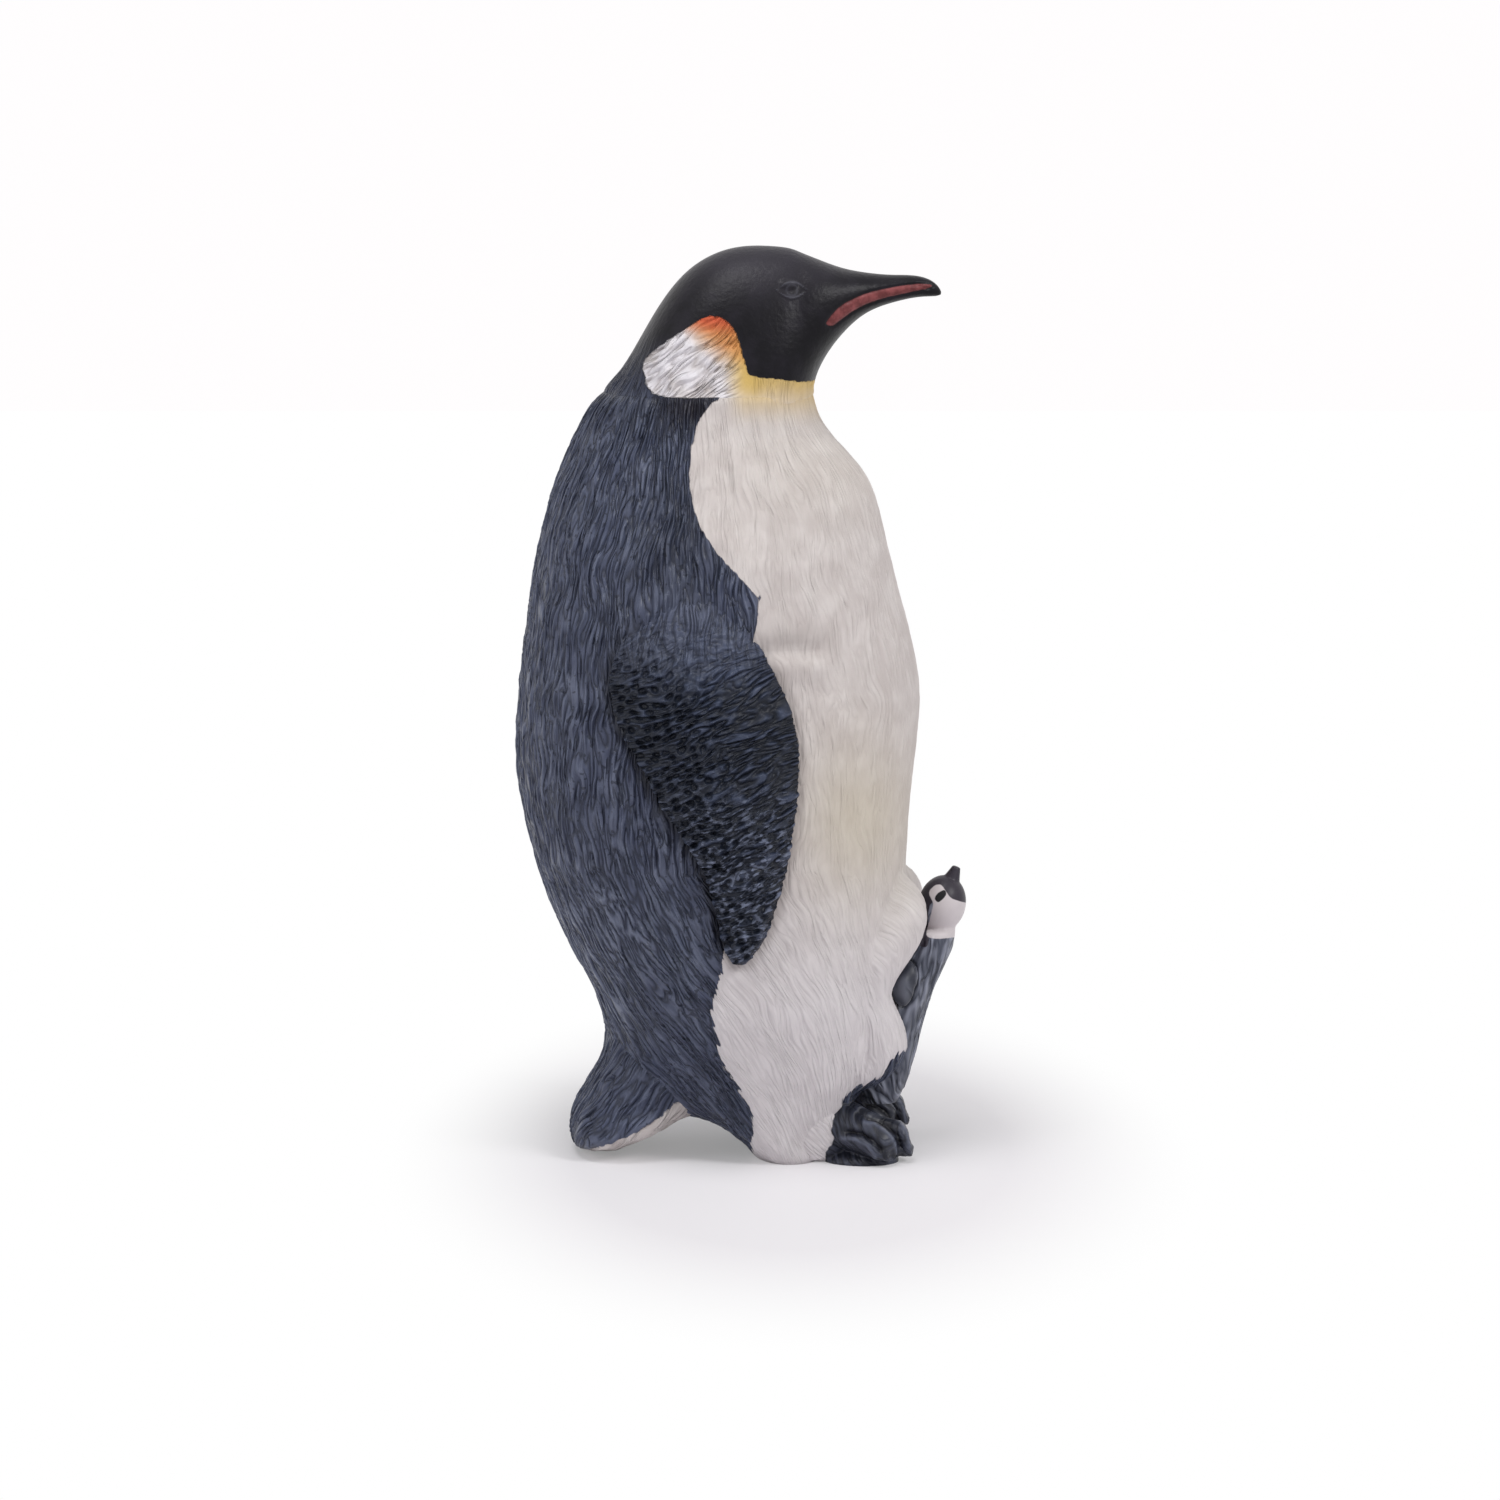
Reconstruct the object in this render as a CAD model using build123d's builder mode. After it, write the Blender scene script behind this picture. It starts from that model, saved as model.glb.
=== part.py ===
from build123d import *
from math import copysign, cos, pi, radians, sin
import os

# Standing penguin figurine with a chick in its brood pouch, moulded in solid soft vinyl.
# Eight mouldings are glued together on round locating pegs. Millimetres, +Z up, +X is where
# the bird looks, and the origin is the middle of the flat base that the bird stands on.

# Torso: the main moulding, from the flat base to the neck seam
TORSO_HEIGHT = 75.0
TORSO_DEPTH = 39.6
TORSO_WIDTH = 34.6
# Levels of the torso: height share, back and front shares of the depth, half width share
TORSO_LEVEL_SHARES = (
    (0.000, -0.104, 0.094, 0.500),
    (0.060, -0.240, 0.124, 0.610),
    (0.130, -0.385, 0.250, 0.735),
    (0.215, -0.492, 0.274, 0.870),
    (0.310, -0.583, 0.280, 0.940),
    (0.405, -0.646, 0.286, 0.985),
    (0.510, -0.683, 0.302, 1.000),
    (0.617, -0.676, 0.315, 0.975),
    (0.729, -0.650, 0.270, 0.905),
    (0.830, -0.615, 0.222, 0.800),
    (0.895, -0.578, 0.178, 0.690),
    (0.945, -0.536, 0.096, 0.585),
    (0.972, -0.508, 0.062, 0.540),
    (1.000, -0.460, 0.043, 0.500),
)
# Outlines are drawn through a few points, and one power under 1 makes them fuller than an ellipse
OUTLINE_POINTS = 12
FULLNESS_SHARE = 0.92

# Brood pouch: a horseshoe fold of belly skin that lies over the chick's shoulders, is drawn in at
# its waist, swells again into a skirt and runs out inside the leg. Setbacks of the fold, the chick
# and the feet are measured back from the belly's front at the fold's waist.
FOLD_RADIUS = 2.9
FOLD_CROWN_HEIGHT = 26.0
FOLD_CROWN_SETBACK = 2.5
FOLD_SHOULDER_HEIGHT = 24.2
FOLD_SHOULDER_SETBACK = 0.6
FOLD_SHOULDER_SPREAD = 5.6
FOLD_WAIST_HEIGHT = 16.8
FOLD_WAIST_SETBACK = 4.1
FOLD_WAIST_SPREAD = 7.4
FOLD_SKIRT_HEIGHT = 12.6
FOLD_SKIRT_SETBACK = 2.7
FOLD_SKIRT_SPREAD = 6.8
FOLD_END_HEIGHT = 9.4
FOLD_END_SETBACK = 9.4
FOLD_END_SPREAD = 5.6

# Head: one moulding with the neck and the beak
HEAD_HEIGHT = 14.2
HEAD_REACH = 23.1
HEAD_WIDTH = 18.0
# Upright slices from the nape to the beak, measured from the middle of the neck seam: reach share,
# upper and lower shares of the height, half width share. The ovals run on under the seam.
HEAD_SLICE_SHARES = (
    (-0.464, -0.300, -1.340, 0.540),
    (-0.374, 0.147, -1.480, 0.810),
    (-0.250, 0.467, -1.620, 0.950),
    (-0.084, 0.827, -1.770, 1.000),
    (0.089, 0.977, -1.770, 0.965),
    (0.262, 0.997, -1.480, 0.870),
    (0.392, 0.953, -0.400, 0.655),
    (0.479, 0.897, 0.187, 0.540),
    (0.565, 0.848, 0.393, 0.430),
    (0.661, 0.817, 0.532, 0.300),
    (0.782, 0.800, 0.612, 0.205),
    (0.905, 0.785, 0.650, 0.135),
    (0.963, 0.735, 0.655, 0.075),
)
BEAK_TIP_SHARES = (0.986, 0.672)
# The gape, the line between the two halves of the beak: from its corner to near the tip
GAPE_SHARES = ((0.520, 0.505), (0.610, 0.645), (0.740, 0.717), (0.870, 0.730), (0.940, 0.706))
GAPE_WIDTH = 0.30
GAPE_DEPTH = 0.25
# The eye: a low almond on each cheek
EYE_SHARES = (0.330, 0.735)
EYE_LENGTH = 2.4
EYE_HEIGHT = 1.5
EYE_DEPTH = 1.6
EYE_PROUD = 0.30

# Flippers: one blade on each flank, thick in the middle and thinner at its edges
FLIPPER_TOP = 61.5
FLIPPER_LENGTH = 40.2
FLIPPER_CHORD = 18.6
FLIPPER_LEAD = 0.6
FLIPPER_THICKNESS = 2.7
FLIPPER_EDGE = 0.9
FLIPPER_ROOTING = 3.0
# Stations down the blade: length share, trailing and leading shares of the chord, thickness share
FLIPPER_STATION_SHARES = (
    (0.000, 0.720, 0.400, 0.14),
    (0.105, 0.800, 0.270, 0.48),
    (0.205, 0.890, 0.235, 0.80),
    (0.355, 0.975, 0.070, 1.00),
    (0.530, 0.810, 0.000, 1.00),
    (0.650, 0.665, 0.020, 1.00),
    (0.750, 0.525, 0.055, 0.95),
    (0.900, 0.420, 0.140, 0.80),
    (0.960, 0.390, 0.200, 0.70),
    (1.000, 0.350, 0.270, 0.45),
)
# Across the blade: chord share from the trailing edge, share of the bulge
FLIPPER_BULGE_SHARES = ((0.00, 0.00), (0.25, 0.80), (0.55, 1.00), (0.82, 0.75), (1.00, 0.00))

# Tail: a short thick fan that props the bird from behind
TAIL_HEIGHT = 14.0
TAIL_DEPTH = 22.0
TAIL_WIDTH = 18.8
# Levels of the tail: height share, back and front shares of the depth, half width share
TAIL_LEVEL_SHARES = (
    (0.000, -0.940, -0.800, 0.240),
    (0.050, -0.985, -0.725, 0.600),
    (0.143, -1.000, -0.615, 0.930),
    (0.320, -0.980, -0.435, 0.960),
    (0.570, -0.890, -0.360, 0.800),
    (0.835, -0.815, -0.320, 0.690),
    (1.000, -0.760, -0.320, 0.620),
)

# Feet: three thick clawed toes and a web, splayed a little outward from under the belly
FOOT_SPREAD = 5.8
FOOT_SETBACK = 7.7
FOOT_TOE_OUT = 10.0
HEEL_LENGTH = 7.0
HEEL_WIDTH = 5.4
HEEL_HEIGHT = 7.2
TOE_LENGTH = 8.6
TOE_HEIGHT = 4.2
TOE_RADIUS = 2.0
TOE_FAN = 21.0
OUTER_TOE_LENGTH_SHARE = 0.86
# Slices along a toe: length share, height share of its middle, radius share
TOE_SLICE_SHARES = (
    (0.180, 0.800, 1.000),
    (0.450, 0.740, 1.000),
    (0.720, 0.600, 0.880),
    (0.920, 0.480, 0.720),
)
CLAW_HEIGHT_SHARE = 0.160
WEB_REACH = 3.6
WEB_LENGTH = 7.6
WEB_WIDTH = 6.0
WEB_THICKNESS = 1.5

# Chick: one moulding, its back in the pouch and its face turned up
CHICK_FOOT_HEIGHT = 4.6
CHICK_HEIGHT = 17.4
CHICK_WIDTH = 8.8
CHICK_DEPTH = 7.6
CHICK_SETBACK = 2.1
# Levels of the chick's body: height share, then lean, half depth and half width as shares of half
# the depth and half the width
CHICK_LEVEL_SHARES = (
    (0.000, -0.050, 0.500, 0.560),
    (0.180, 0.030, 0.740, 0.760),
    (0.420, 0.160, 0.900, 0.960),
    (0.640, 0.400, 0.970, 1.000),
    (0.830, 0.880, 0.870, 0.800),
    (1.000, 1.280, 0.680, 0.560),
)
CHICK_HEAD_LENGTH = 5.8
CHICK_HEAD_WIDTH = 4.9
CHICK_HEAD_DEPTH = 4.7
CHICK_HEAD_TILT = 14.0
CHICK_HEAD_RISE = 2.4
CHICK_HEAD_FORWARD = 1.2
CHICK_BEAK_RADIUS = 1.7
CHICK_BEAK_TIP_RADIUS = 0.4
CHICK_BEAK_LENGTH = 4.0
CHICK_BEAK_TILT = 21.0
CHICK_FLIPPER_LENGTH = 5.6
CHICK_FLIPPER_CHORD = 2.8
CHICK_FLIPPER_THICKNESS = 3.0
CHICK_FLIPPER_SETBACK = 0.2
CHICK_FLIPPER_SPREAD = 5.5
CHICK_FLIPPER_HEIGHT = 17.0
CHICK_FLIPPER_SWEEP = 26.0

# Glued joints: round pegs on the small mouldings, sockets in the torso
GLUE_GAP = 0.10
PEG_CLEARANCE = 0.10
NECK_PEG_RADIUS = 4.0
NECK_PEG_LENGTH = 6.0
SMALL_PEG_RADIUS = 1.6
SMALL_PEG_LENGTH = 4.2
FLIPPER_PEG_SHARES = (0.30, 0.55)
TAIL_PEG_SHARE = 0.62
FOOT_PEG_HEIGHT = 3.0
CHICK_PEG_SHARE = 0.45

HALF = 0.5
PARTS_FOLDER = "parts"


def between(rows, share):
    """The row of a table of shares at a first share that may lie between two of its rows."""
    for low, high in zip(rows, rows[1:]):
        if share <= high[0]:
            break
    step = min(max((share - low[0]) / (high[0] - low[0]), 0), 1)
    return [a + (b - a) * step for a, b in zip(low[1:], high[1:])]


def oval_face(plane, half_length, half_width):
    """A face on a plane, a little fuller than an ellipse, whose outline starts on its +X side."""
    def swell(ratio):
        return copysign(abs(ratio) ** FULLNESS_SHARE, ratio)

    steps = [step / OUTLINE_POINTS for step in range(OUTLINE_POINTS + 1)]
    turns = [2 * pi * step for step in steps[:-1]]
    points = [(half_length * swell(cos(t)), half_width * swell(sin(t))) for t in turns]
    with BuildSketch(plane) as face:
        with BuildLine():
            add(Edge.make_spline(points, periodic=True, parameters=steps))
        make_face()
    return face.sketch


def ellipsoid(depth, width, height):
    """An egg shape from its three sizes."""
    with BuildPart() as egg:
        scale(Sphere(1), (depth * HALF, width * HALF, height * HALF))
    return egg.part


def half_chord(along):
    """Half width share of such an outline, at a share of its half length."""
    return (1 - min(abs(along), 1) ** (2 / FULLNESS_SHARE)) ** (FULLNESS_SHARE * HALF)


def torso_level(height):
    """Back, front and half width of the torso at a height."""
    back, front, half_width = between(TORSO_LEVEL_SHARES, height / TORSO_HEIGHT)
    return back * TORSO_DEPTH, front * TORSO_DEPTH, half_width * TORSO_WIDTH * HALF


def flank(reach, height):
    """How far the torso's side stands from the middle plane, at a point of its side view."""
    back, front, half_width = torso_level(height)
    return half_width * half_chord((reach - (front + back) * HALF) / ((front - back) * HALF))


belly_front = torso_level(FOLD_WAIST_HEIGHT)[1]
fold_points = (
    (belly_front - FOLD_END_SETBACK, -FOLD_END_SPREAD, FOLD_END_HEIGHT),
    (belly_front - FOLD_SKIRT_SETBACK, -FOLD_SKIRT_SPREAD, FOLD_SKIRT_HEIGHT),
    (belly_front - FOLD_WAIST_SETBACK, -FOLD_WAIST_SPREAD, FOLD_WAIST_HEIGHT),
    (belly_front - FOLD_SHOULDER_SETBACK, -FOLD_SHOULDER_SPREAD, FOLD_SHOULDER_HEIGHT),
    (belly_front - FOLD_CROWN_SETBACK, 0, FOLD_CROWN_HEIGHT),
)


def torso_form(margin):
    """The torso's outer form with its pouch fold, grown by a margin all round."""
    levels = []
    for height_share, *_ in TORSO_LEVEL_SHARES:
        back, front, half_width = torso_level(height_share * TORSO_HEIGHT)
        middle = Plane(((front + back) * HALF, 0, height_share * TORSO_HEIGHT))
        levels.append(oval_face(middle, (front - back) * HALF + margin, half_width + margin))
    with BuildPart() as form:
        loft(sections=levels)
        with BuildLine() as fold_path:
            Spline(*fold_points, *((x, -y, z) for x, y, z in reversed(fold_points[:-1])))
        with BuildSketch(fold_path.line ^ 0) as fold_section:
            Circle(FOLD_RADIUS + margin)
        sweep(sections=fold_section.sketch, path=fold_path.line)
    return form.part


def peg(plane, radius, length, mode=Mode.ADD):
    """A round peg that stands on a plane."""
    with Locations(plane):
        Cylinder(radius, length, align=(Align.CENTER, Align.CENTER, Align.MIN), mode=mode)


def socket(plane, radius, length):
    """The blind hole for a peg, a clearance wider and deeper than the peg."""
    peg(plane, radius + PEG_CLEARANCE, length + PEG_CLEARANCE, Mode.SUBTRACT)


neck_back, neck_front, _ = torso_level(TORSO_HEIGHT)
neck_middle = (neck_front + neck_back) * HALF
neck_peg_plane = Plane((neck_middle, 0, TORSO_HEIGHT), z_dir=(0, 0, -1))


def head_point(shares):
    """A point of the head's side view, from its shares of the reach and of the height."""
    return Vector(neck_middle + shares[0] * HEAD_REACH, 0, TORSO_HEIGHT + shares[1] * HEAD_HEIGHT)


def head_form():
    """Neck, head and beak in one loft along the bird's line of sight, cut flat at the neck seam."""
    slices = []
    for reach_share, upper_share, lower_share, half_width_share in HEAD_SLICE_SHARES:
        upper = head_point((reach_share, upper_share))
        lower = head_point((reach_share, lower_share))
        upright = Plane((upper + lower) * HALF, x_dir=(0, 0, 1), z_dir=(1, 0, 0))
        half_width = half_width_share * HEAD_WIDTH * HALF
        slices.append(oval_face(upright, (upper - lower).length * HALF, half_width))
    with BuildPart() as form:
        loft(sections=[*slices, Vertex(head_point(BEAK_TIP_SHARES))])
        split(bisect_by=Plane.XY.offset(TORSO_HEIGHT), keep=Keep.TOP)
    return form.part


def cheek(shares):
    """How far the head's side stands from the middle plane, at a point of its side view."""
    upper_share, lower_share, half_width_share = between(HEAD_SLICE_SHARES, shares[0])
    along = (2 * shares[1] - upper_share - lower_share) / (upper_share - lower_share)
    return half_width_share * HEAD_WIDTH * HALF * half_chord(along)


# The gape line, cut on both sides of the beak and left whole in between
gape_corner, gape_end = head_point(GAPE_SHARES[0]), head_point(GAPE_SHARES[-1])
corner_core, end_core = cheek(GAPE_SHARES[0]) - GAPE_DEPTH, cheek(GAPE_SHARES[-1]) - GAPE_DEPTH

with BuildPart() as gape:
    with BuildSketch(Plane.XZ):
        with BuildLine():
            gape_points = [head_point(shares) for shares in GAPE_SHARES]
            upper_lip = Spline([(point.X, point.Z + GAPE_WIDTH * HALF) for point in gape_points])
            lower_lip = Spline([(point.X, point.Z - GAPE_WIDTH * HALF) for point in gape_points])
            Line(upper_lip @ 0, lower_lip @ 0)
            Line(upper_lip @ 1, lower_lip @ 1)
        make_face()
    extrude(amount=HEAD_WIDTH, both=True)
    with BuildSketch(Plane.XY.offset(TORSO_HEIGHT)):
        with BuildLine():
            Polyline(
                (gape_corner.X - GAPE_WIDTH, corner_core),
                (gape_end.X + GAPE_WIDTH, end_core),
                (gape_end.X + GAPE_WIDTH, -end_core),
                (gape_corner.X - GAPE_WIDTH, -corner_core),
                close=True,
            )
        make_face()
    extrude(amount=HEAD_HEIGHT, mode=Mode.SUBTRACT)

eye_middle = head_point(EYE_SHARES)
eye_spread = cheek(EYE_SHARES) + EYE_PROUD - EYE_DEPTH * HALF

with BuildPart() as head:
    add(head_form())
    with Locations((eye_middle.X, eye_spread, eye_middle.Z), (eye_middle.X, -eye_spread, eye_middle.Z)):
        add(ellipsoid(EYE_LENGTH, EYE_DEPTH, EYE_HEIGHT))
    add(gape.part, mode=Mode.SUBTRACT)
    peg(neck_peg_plane, NECK_PEG_RADIUS, NECK_PEG_LENGTH)
head.part.label = "head"


chick_reach = belly_front - CHICK_SETBACK
chick_neck_height = CHICK_FOOT_HEIGHT + CHICK_HEIGHT
chick_neck_reach = chick_reach + CHICK_LEVEL_SHARES[-1][1] * CHICK_DEPTH * HALF
chick_face = Vector(chick_neck_reach + CHICK_HEAD_FORWARD, 0, chick_neck_height + CHICK_HEAD_RISE)


def chick_form(margin):
    """The chick's body and head, grown by a margin all round."""
    levels = []
    for height_share, middle_share, half_depth_share, half_width_share in CHICK_LEVEL_SHARES:
        reach = chick_reach + middle_share * CHICK_DEPTH * HALF
        level = Plane((reach, 0, CHICK_FOOT_HEIGHT + height_share * CHICK_HEIGHT))
        half_depth = half_depth_share * CHICK_DEPTH * HALF + margin
        levels.append(oval_face(level, half_depth, half_width_share * CHICK_WIDTH * HALF + margin))
    skull_sizes = [size + 2 * margin for size in (CHICK_HEAD_DEPTH, CHICK_HEAD_WIDTH, CHICK_HEAD_LENGTH)]
    with BuildPart() as form:
        loft(sections=levels)
        with Locations(Location(chick_face, (0, CHICK_HEAD_TILT, 0))):
            add(ellipsoid(*skull_sizes))
    return form.part


# The chick's beak starts in the middle of its head and points up and forward
chick_beak_turn = radians(CHICK_BEAK_TILT)
chick_beak_plane = Plane(chick_face, z_dir=(sin(chick_beak_turn), 0, cos(chick_beak_turn)))
chick_peg_height = CHICK_FOOT_HEIGHT + CHICK_PEG_SHARE * CHICK_HEIGHT
chick_peg_plane = Plane((chick_reach, 0, chick_peg_height), z_dir=(-1, 0, 0))
chick_peg_length = CHICK_DEPTH * HALF + SMALL_PEG_LENGTH

chick_flipper_reach = belly_front - CHICK_FLIPPER_SETBACK

with BuildPart() as chick:
    for side in (-1, 1):
        place = Vector(chick_flipper_reach, side * CHICK_FLIPPER_SPREAD, CHICK_FLIPPER_HEIGHT)
        with Locations(Location(place, (0, CHICK_FLIPPER_SWEEP, 0))):
            add(ellipsoid(CHICK_FLIPPER_CHORD, CHICK_FLIPPER_THICKNESS, CHICK_FLIPPER_LENGTH))
    add(torso_form(GLUE_GAP), mode=Mode.SUBTRACT)
    add(chick_form(0))
    with Locations(chick_beak_plane):
        Cone(
            CHICK_BEAK_RADIUS,
            CHICK_BEAK_TIP_RADIUS,
            CHICK_BEAK_LENGTH,
            align=(Align.CENTER, Align.CENTER, Align.MIN),
        )
    peg(chick_peg_plane, SMALL_PEG_RADIUS, chick_peg_length)
chick.part.label = "chick"


def blade_section(length_share, trailing_share, leading_share, thickness_share):
    """A level cut through the right flipper: bulged outside, and rooted inside the flank."""
    height = FLIPPER_TOP - length_share * FLIPPER_LENGTH
    trailing = FLIPPER_LEAD - trailing_share * FLIPPER_CHORD
    leading = FLIPPER_LEAD - leading_share * FLIPPER_CHORD
    outside = []
    for chord_share, bulge_share in FLIPPER_BULGE_SHARES:
        reach = trailing + (leading - trailing) * chord_share
        proud = FLIPPER_EDGE + (FLIPPER_THICKNESS - FLIPPER_EDGE) * bulge_share
        outside.append((reach, -flank(reach, height) - proud * thickness_share))
    with BuildSketch(Plane.XY.offset(height)) as section:
        with BuildLine():
            add(Edge.make_spline(outside, parameters=[shares[0] for shares in FLIPPER_BULGE_SHARES]))
            Polyline(
                outside[-1],
                (leading, FLIPPER_ROOTING - flank(leading, height)),
                (trailing, FLIPPER_ROOTING - flank(trailing, height)),
                outside[0],
            )
        make_face()
    return section.sketch


def flipper_peg_plane(length_share):
    """Where a peg of the right flipper starts, inside the blade at the middle of its chord."""
    trailing_share, leading_share, _ = between(FLIPPER_STATION_SHARES, length_share)
    height = FLIPPER_TOP - length_share * FLIPPER_LENGTH
    reach = FLIPPER_LEAD - (trailing_share + leading_share) * HALF * FLIPPER_CHORD
    return Plane((reach, -flank(reach, height) - FLIPPER_EDGE, height), z_dir=(0, 1, 0))


flipper_peg_planes = [flipper_peg_plane(length_share) for length_share in FLIPPER_PEG_SHARES]

with BuildPart() as flipper_right:
    loft(sections=[blade_section(*station_shares) for station_shares in FLIPPER_STATION_SHARES])
    add(torso_form(GLUE_GAP), mode=Mode.SUBTRACT)
    for plane in flipper_peg_planes:
        peg(plane, SMALL_PEG_RADIUS, SMALL_PEG_LENGTH)
flipper_right.part.label = "flipper_right"

with BuildPart() as flipper_left:
    mirror(flipper_right.part, about=Plane.XZ)
flipper_left.part.label = "flipper_left"

# The tail's peg starts inside the tail and runs forward into the torso
tail_peg_height = TAIL_PEG_SHARE * TAIL_HEIGHT
tail_peg_start = torso_level(tail_peg_height)[0] - SMALL_PEG_RADIUS
tail_peg_plane = Plane((tail_peg_start, 0, tail_peg_height), z_dir=(1, 0, 0))
tail_peg_length = SMALL_PEG_RADIUS + SMALL_PEG_LENGTH

with BuildPart() as tail:
    tail_levels = []
    for height_share, back_share, front_share, half_width_share in TAIL_LEVEL_SHARES:
        level = Plane(((back_share + front_share) * HALF * TAIL_DEPTH, 0, height_share * TAIL_HEIGHT))
        half_depth = (front_share - back_share) * HALF * TAIL_DEPTH
        tail_levels.append(oval_face(level, half_depth, half_width_share * TAIL_WIDTH * HALF))
    loft(sections=tail_levels)
    add(torso_form(GLUE_GAP), mode=Mode.SUBTRACT)
    peg(tail_peg_plane, SMALL_PEG_RADIUS, tail_peg_length)
tail.part.label = "tail"


def toe_way(fan_angle):
    """The level direction of a toe of the right foot."""
    turn = radians(fan_angle - FOOT_TOE_OUT)
    return Vector(cos(turn), sin(turn), 0)


foot_reach = belly_front - FOOT_SETBACK
foot_root = Vector(foot_reach, -FOOT_SPREAD, 0)
toes = (
    (toe_way(-TOE_FAN), TOE_LENGTH * OUTER_TOE_LENGTH_SHARE),
    (toe_way(0), TOE_LENGTH),
    (toe_way(TOE_FAN), TOE_LENGTH * OUTER_TOE_LENGTH_SHARE),
)
foot_peg_plane = Plane((foot_reach + TOE_RADIUS, -FOOT_SPREAD, FOOT_PEG_HEIGHT), z_dir=(-1, 0, 0))
foot_peg_length = TOE_RADIUS + SMALL_PEG_LENGTH

with BuildPart() as foot_right:
    with Locations(foot_root + Vector(0, 0, FOOT_PEG_HEIGHT)):
        add(ellipsoid(HEEL_LENGTH, HEEL_WIDTH, HEEL_HEIGHT))
    for way, length in toes:
        slices = []
        for length_share, height_share, radius_share in TOE_SLICE_SHARES:
            middle = foot_root + way * (length * length_share) + Vector(0, 0, TOE_HEIGHT * height_share)
            with BuildSketch(Plane(middle, x_dir=(0, 0, 1), z_dir=way)) as toe_slice:
                Circle(TOE_RADIUS * radius_share)
            slices.append(toe_slice.sketch)
        claw = foot_root + way * length + Vector(0, 0, TOE_HEIGHT * CLAW_HEIGHT_SHARE)
        loft(sections=[*slices, Vertex(claw)])
    with Locations(Location(foot_root + toe_way(0) * WEB_REACH, (0, 0, -FOOT_TOE_OUT))):
        add(ellipsoid(WEB_LENGTH, WEB_WIDTH, 2 * WEB_THICKNESS))
    split(bisect_by=Plane.XY, keep=Keep.TOP)
    add(torso_form(GLUE_GAP), mode=Mode.SUBTRACT)
    add(chick_form(GLUE_GAP), mode=Mode.SUBTRACT)
    peg(foot_peg_plane, SMALL_PEG_RADIUS, foot_peg_length)
foot_right.part.label = "foot_right"

with BuildPart() as foot_left:
    mirror(foot_right.part, about=Plane.XZ)
foot_left.part.label = "foot_left"


def mirrored(plane):
    """The same plane on the bird's left side."""
    middle = plane.origin
    return Plane((middle.X, -middle.Y, middle.Z), z_dir=(plane.z_dir.X, -plane.z_dir.Y, plane.z_dir.Z))


with BuildPart() as torso:
    add(torso_form(0))
    add(chick_form(GLUE_GAP), mode=Mode.SUBTRACT)
    socket(neck_peg_plane, NECK_PEG_RADIUS, NECK_PEG_LENGTH)
    socket(chick_peg_plane, SMALL_PEG_RADIUS, chick_peg_length)
    socket(tail_peg_plane, SMALL_PEG_RADIUS, tail_peg_length)
    for plane in (*flipper_peg_planes, *map(mirrored, flipper_peg_planes)):
        socket(plane, SMALL_PEG_RADIUS, SMALL_PEG_LENGTH)
    for plane in (foot_peg_plane, mirrored(foot_peg_plane)):
        socket(plane, SMALL_PEG_RADIUS, foot_peg_length)
torso.part.label = "torso"

os.makedirs(PARTS_FOLDER, exist_ok=True)
for moulding in (torso, head, flipper_right, flipper_left, tail, foot_right, foot_left, chick):
    export_step(moulding.part, os.path.join(PARTS_FOLDER, moulding.part.label + ".step"))
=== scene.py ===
# %% [markdown]
# A hand-painted vinyl penguin with a chick in its brood pouch. The imported solids hold its sizes, and
# this lesson gives them their sculpted feathers and their paint. The frame is loaded first.

# %% Load the frame
import math

import bpy
import numpy as np
from mathutils import Matrix, Vector
from mathutils.bvhtree import BVHTree


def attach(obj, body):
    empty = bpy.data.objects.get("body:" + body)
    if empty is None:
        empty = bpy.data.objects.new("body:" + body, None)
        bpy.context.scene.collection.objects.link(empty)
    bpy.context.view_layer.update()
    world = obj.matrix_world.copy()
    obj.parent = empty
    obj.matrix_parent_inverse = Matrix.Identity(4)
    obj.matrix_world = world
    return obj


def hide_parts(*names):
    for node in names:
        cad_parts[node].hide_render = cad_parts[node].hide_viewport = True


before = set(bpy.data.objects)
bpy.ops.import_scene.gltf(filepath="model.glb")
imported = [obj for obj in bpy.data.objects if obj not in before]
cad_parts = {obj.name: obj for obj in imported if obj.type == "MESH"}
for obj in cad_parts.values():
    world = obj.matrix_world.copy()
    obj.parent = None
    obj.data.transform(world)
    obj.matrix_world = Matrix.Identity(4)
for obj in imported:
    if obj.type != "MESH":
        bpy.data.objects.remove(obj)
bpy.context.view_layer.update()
MM = 0.001
print("solids:", sorted(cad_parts))

# %% [markdown]
# The photographer stood level with the bird's flank, a little above it. The camera comes first,
# because the painted borders below are drawn as outlines in the photograph's pixels: the same
# pinhole rule that frames the picture tells which pixel a point of the surface falls on.

# %% Camera
PHOTO_SIZE = 1500
CAMERA_ELEVATION = math.radians(8)
CAMERA_DISTANCE = 0.50
FRAME_WIDTH = 0.1476
TARGET = Vector((-0.00413, 0, 0.03975))
SENSOR = 36

away = Vector((0, -math.cos(CAMERA_ELEVATION), math.sin(CAMERA_ELEVATION)))
camera = bpy.data.objects.new("camera", bpy.data.cameras.new("camera"))
camera.data.sensor_width = SENSOR
camera.data.lens = SENSOR * CAMERA_DISTANCE / FRAME_WIDTH
camera.location = TARGET + away * CAMERA_DISTANCE
camera.rotation_euler = away.to_track_quat("Z", "Y").to_euler()
bpy.context.scene.collection.objects.link(camera)
bpy.context.scene.camera = camera
print("lens", round(camera.data.lens, 1), "mm")

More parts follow.
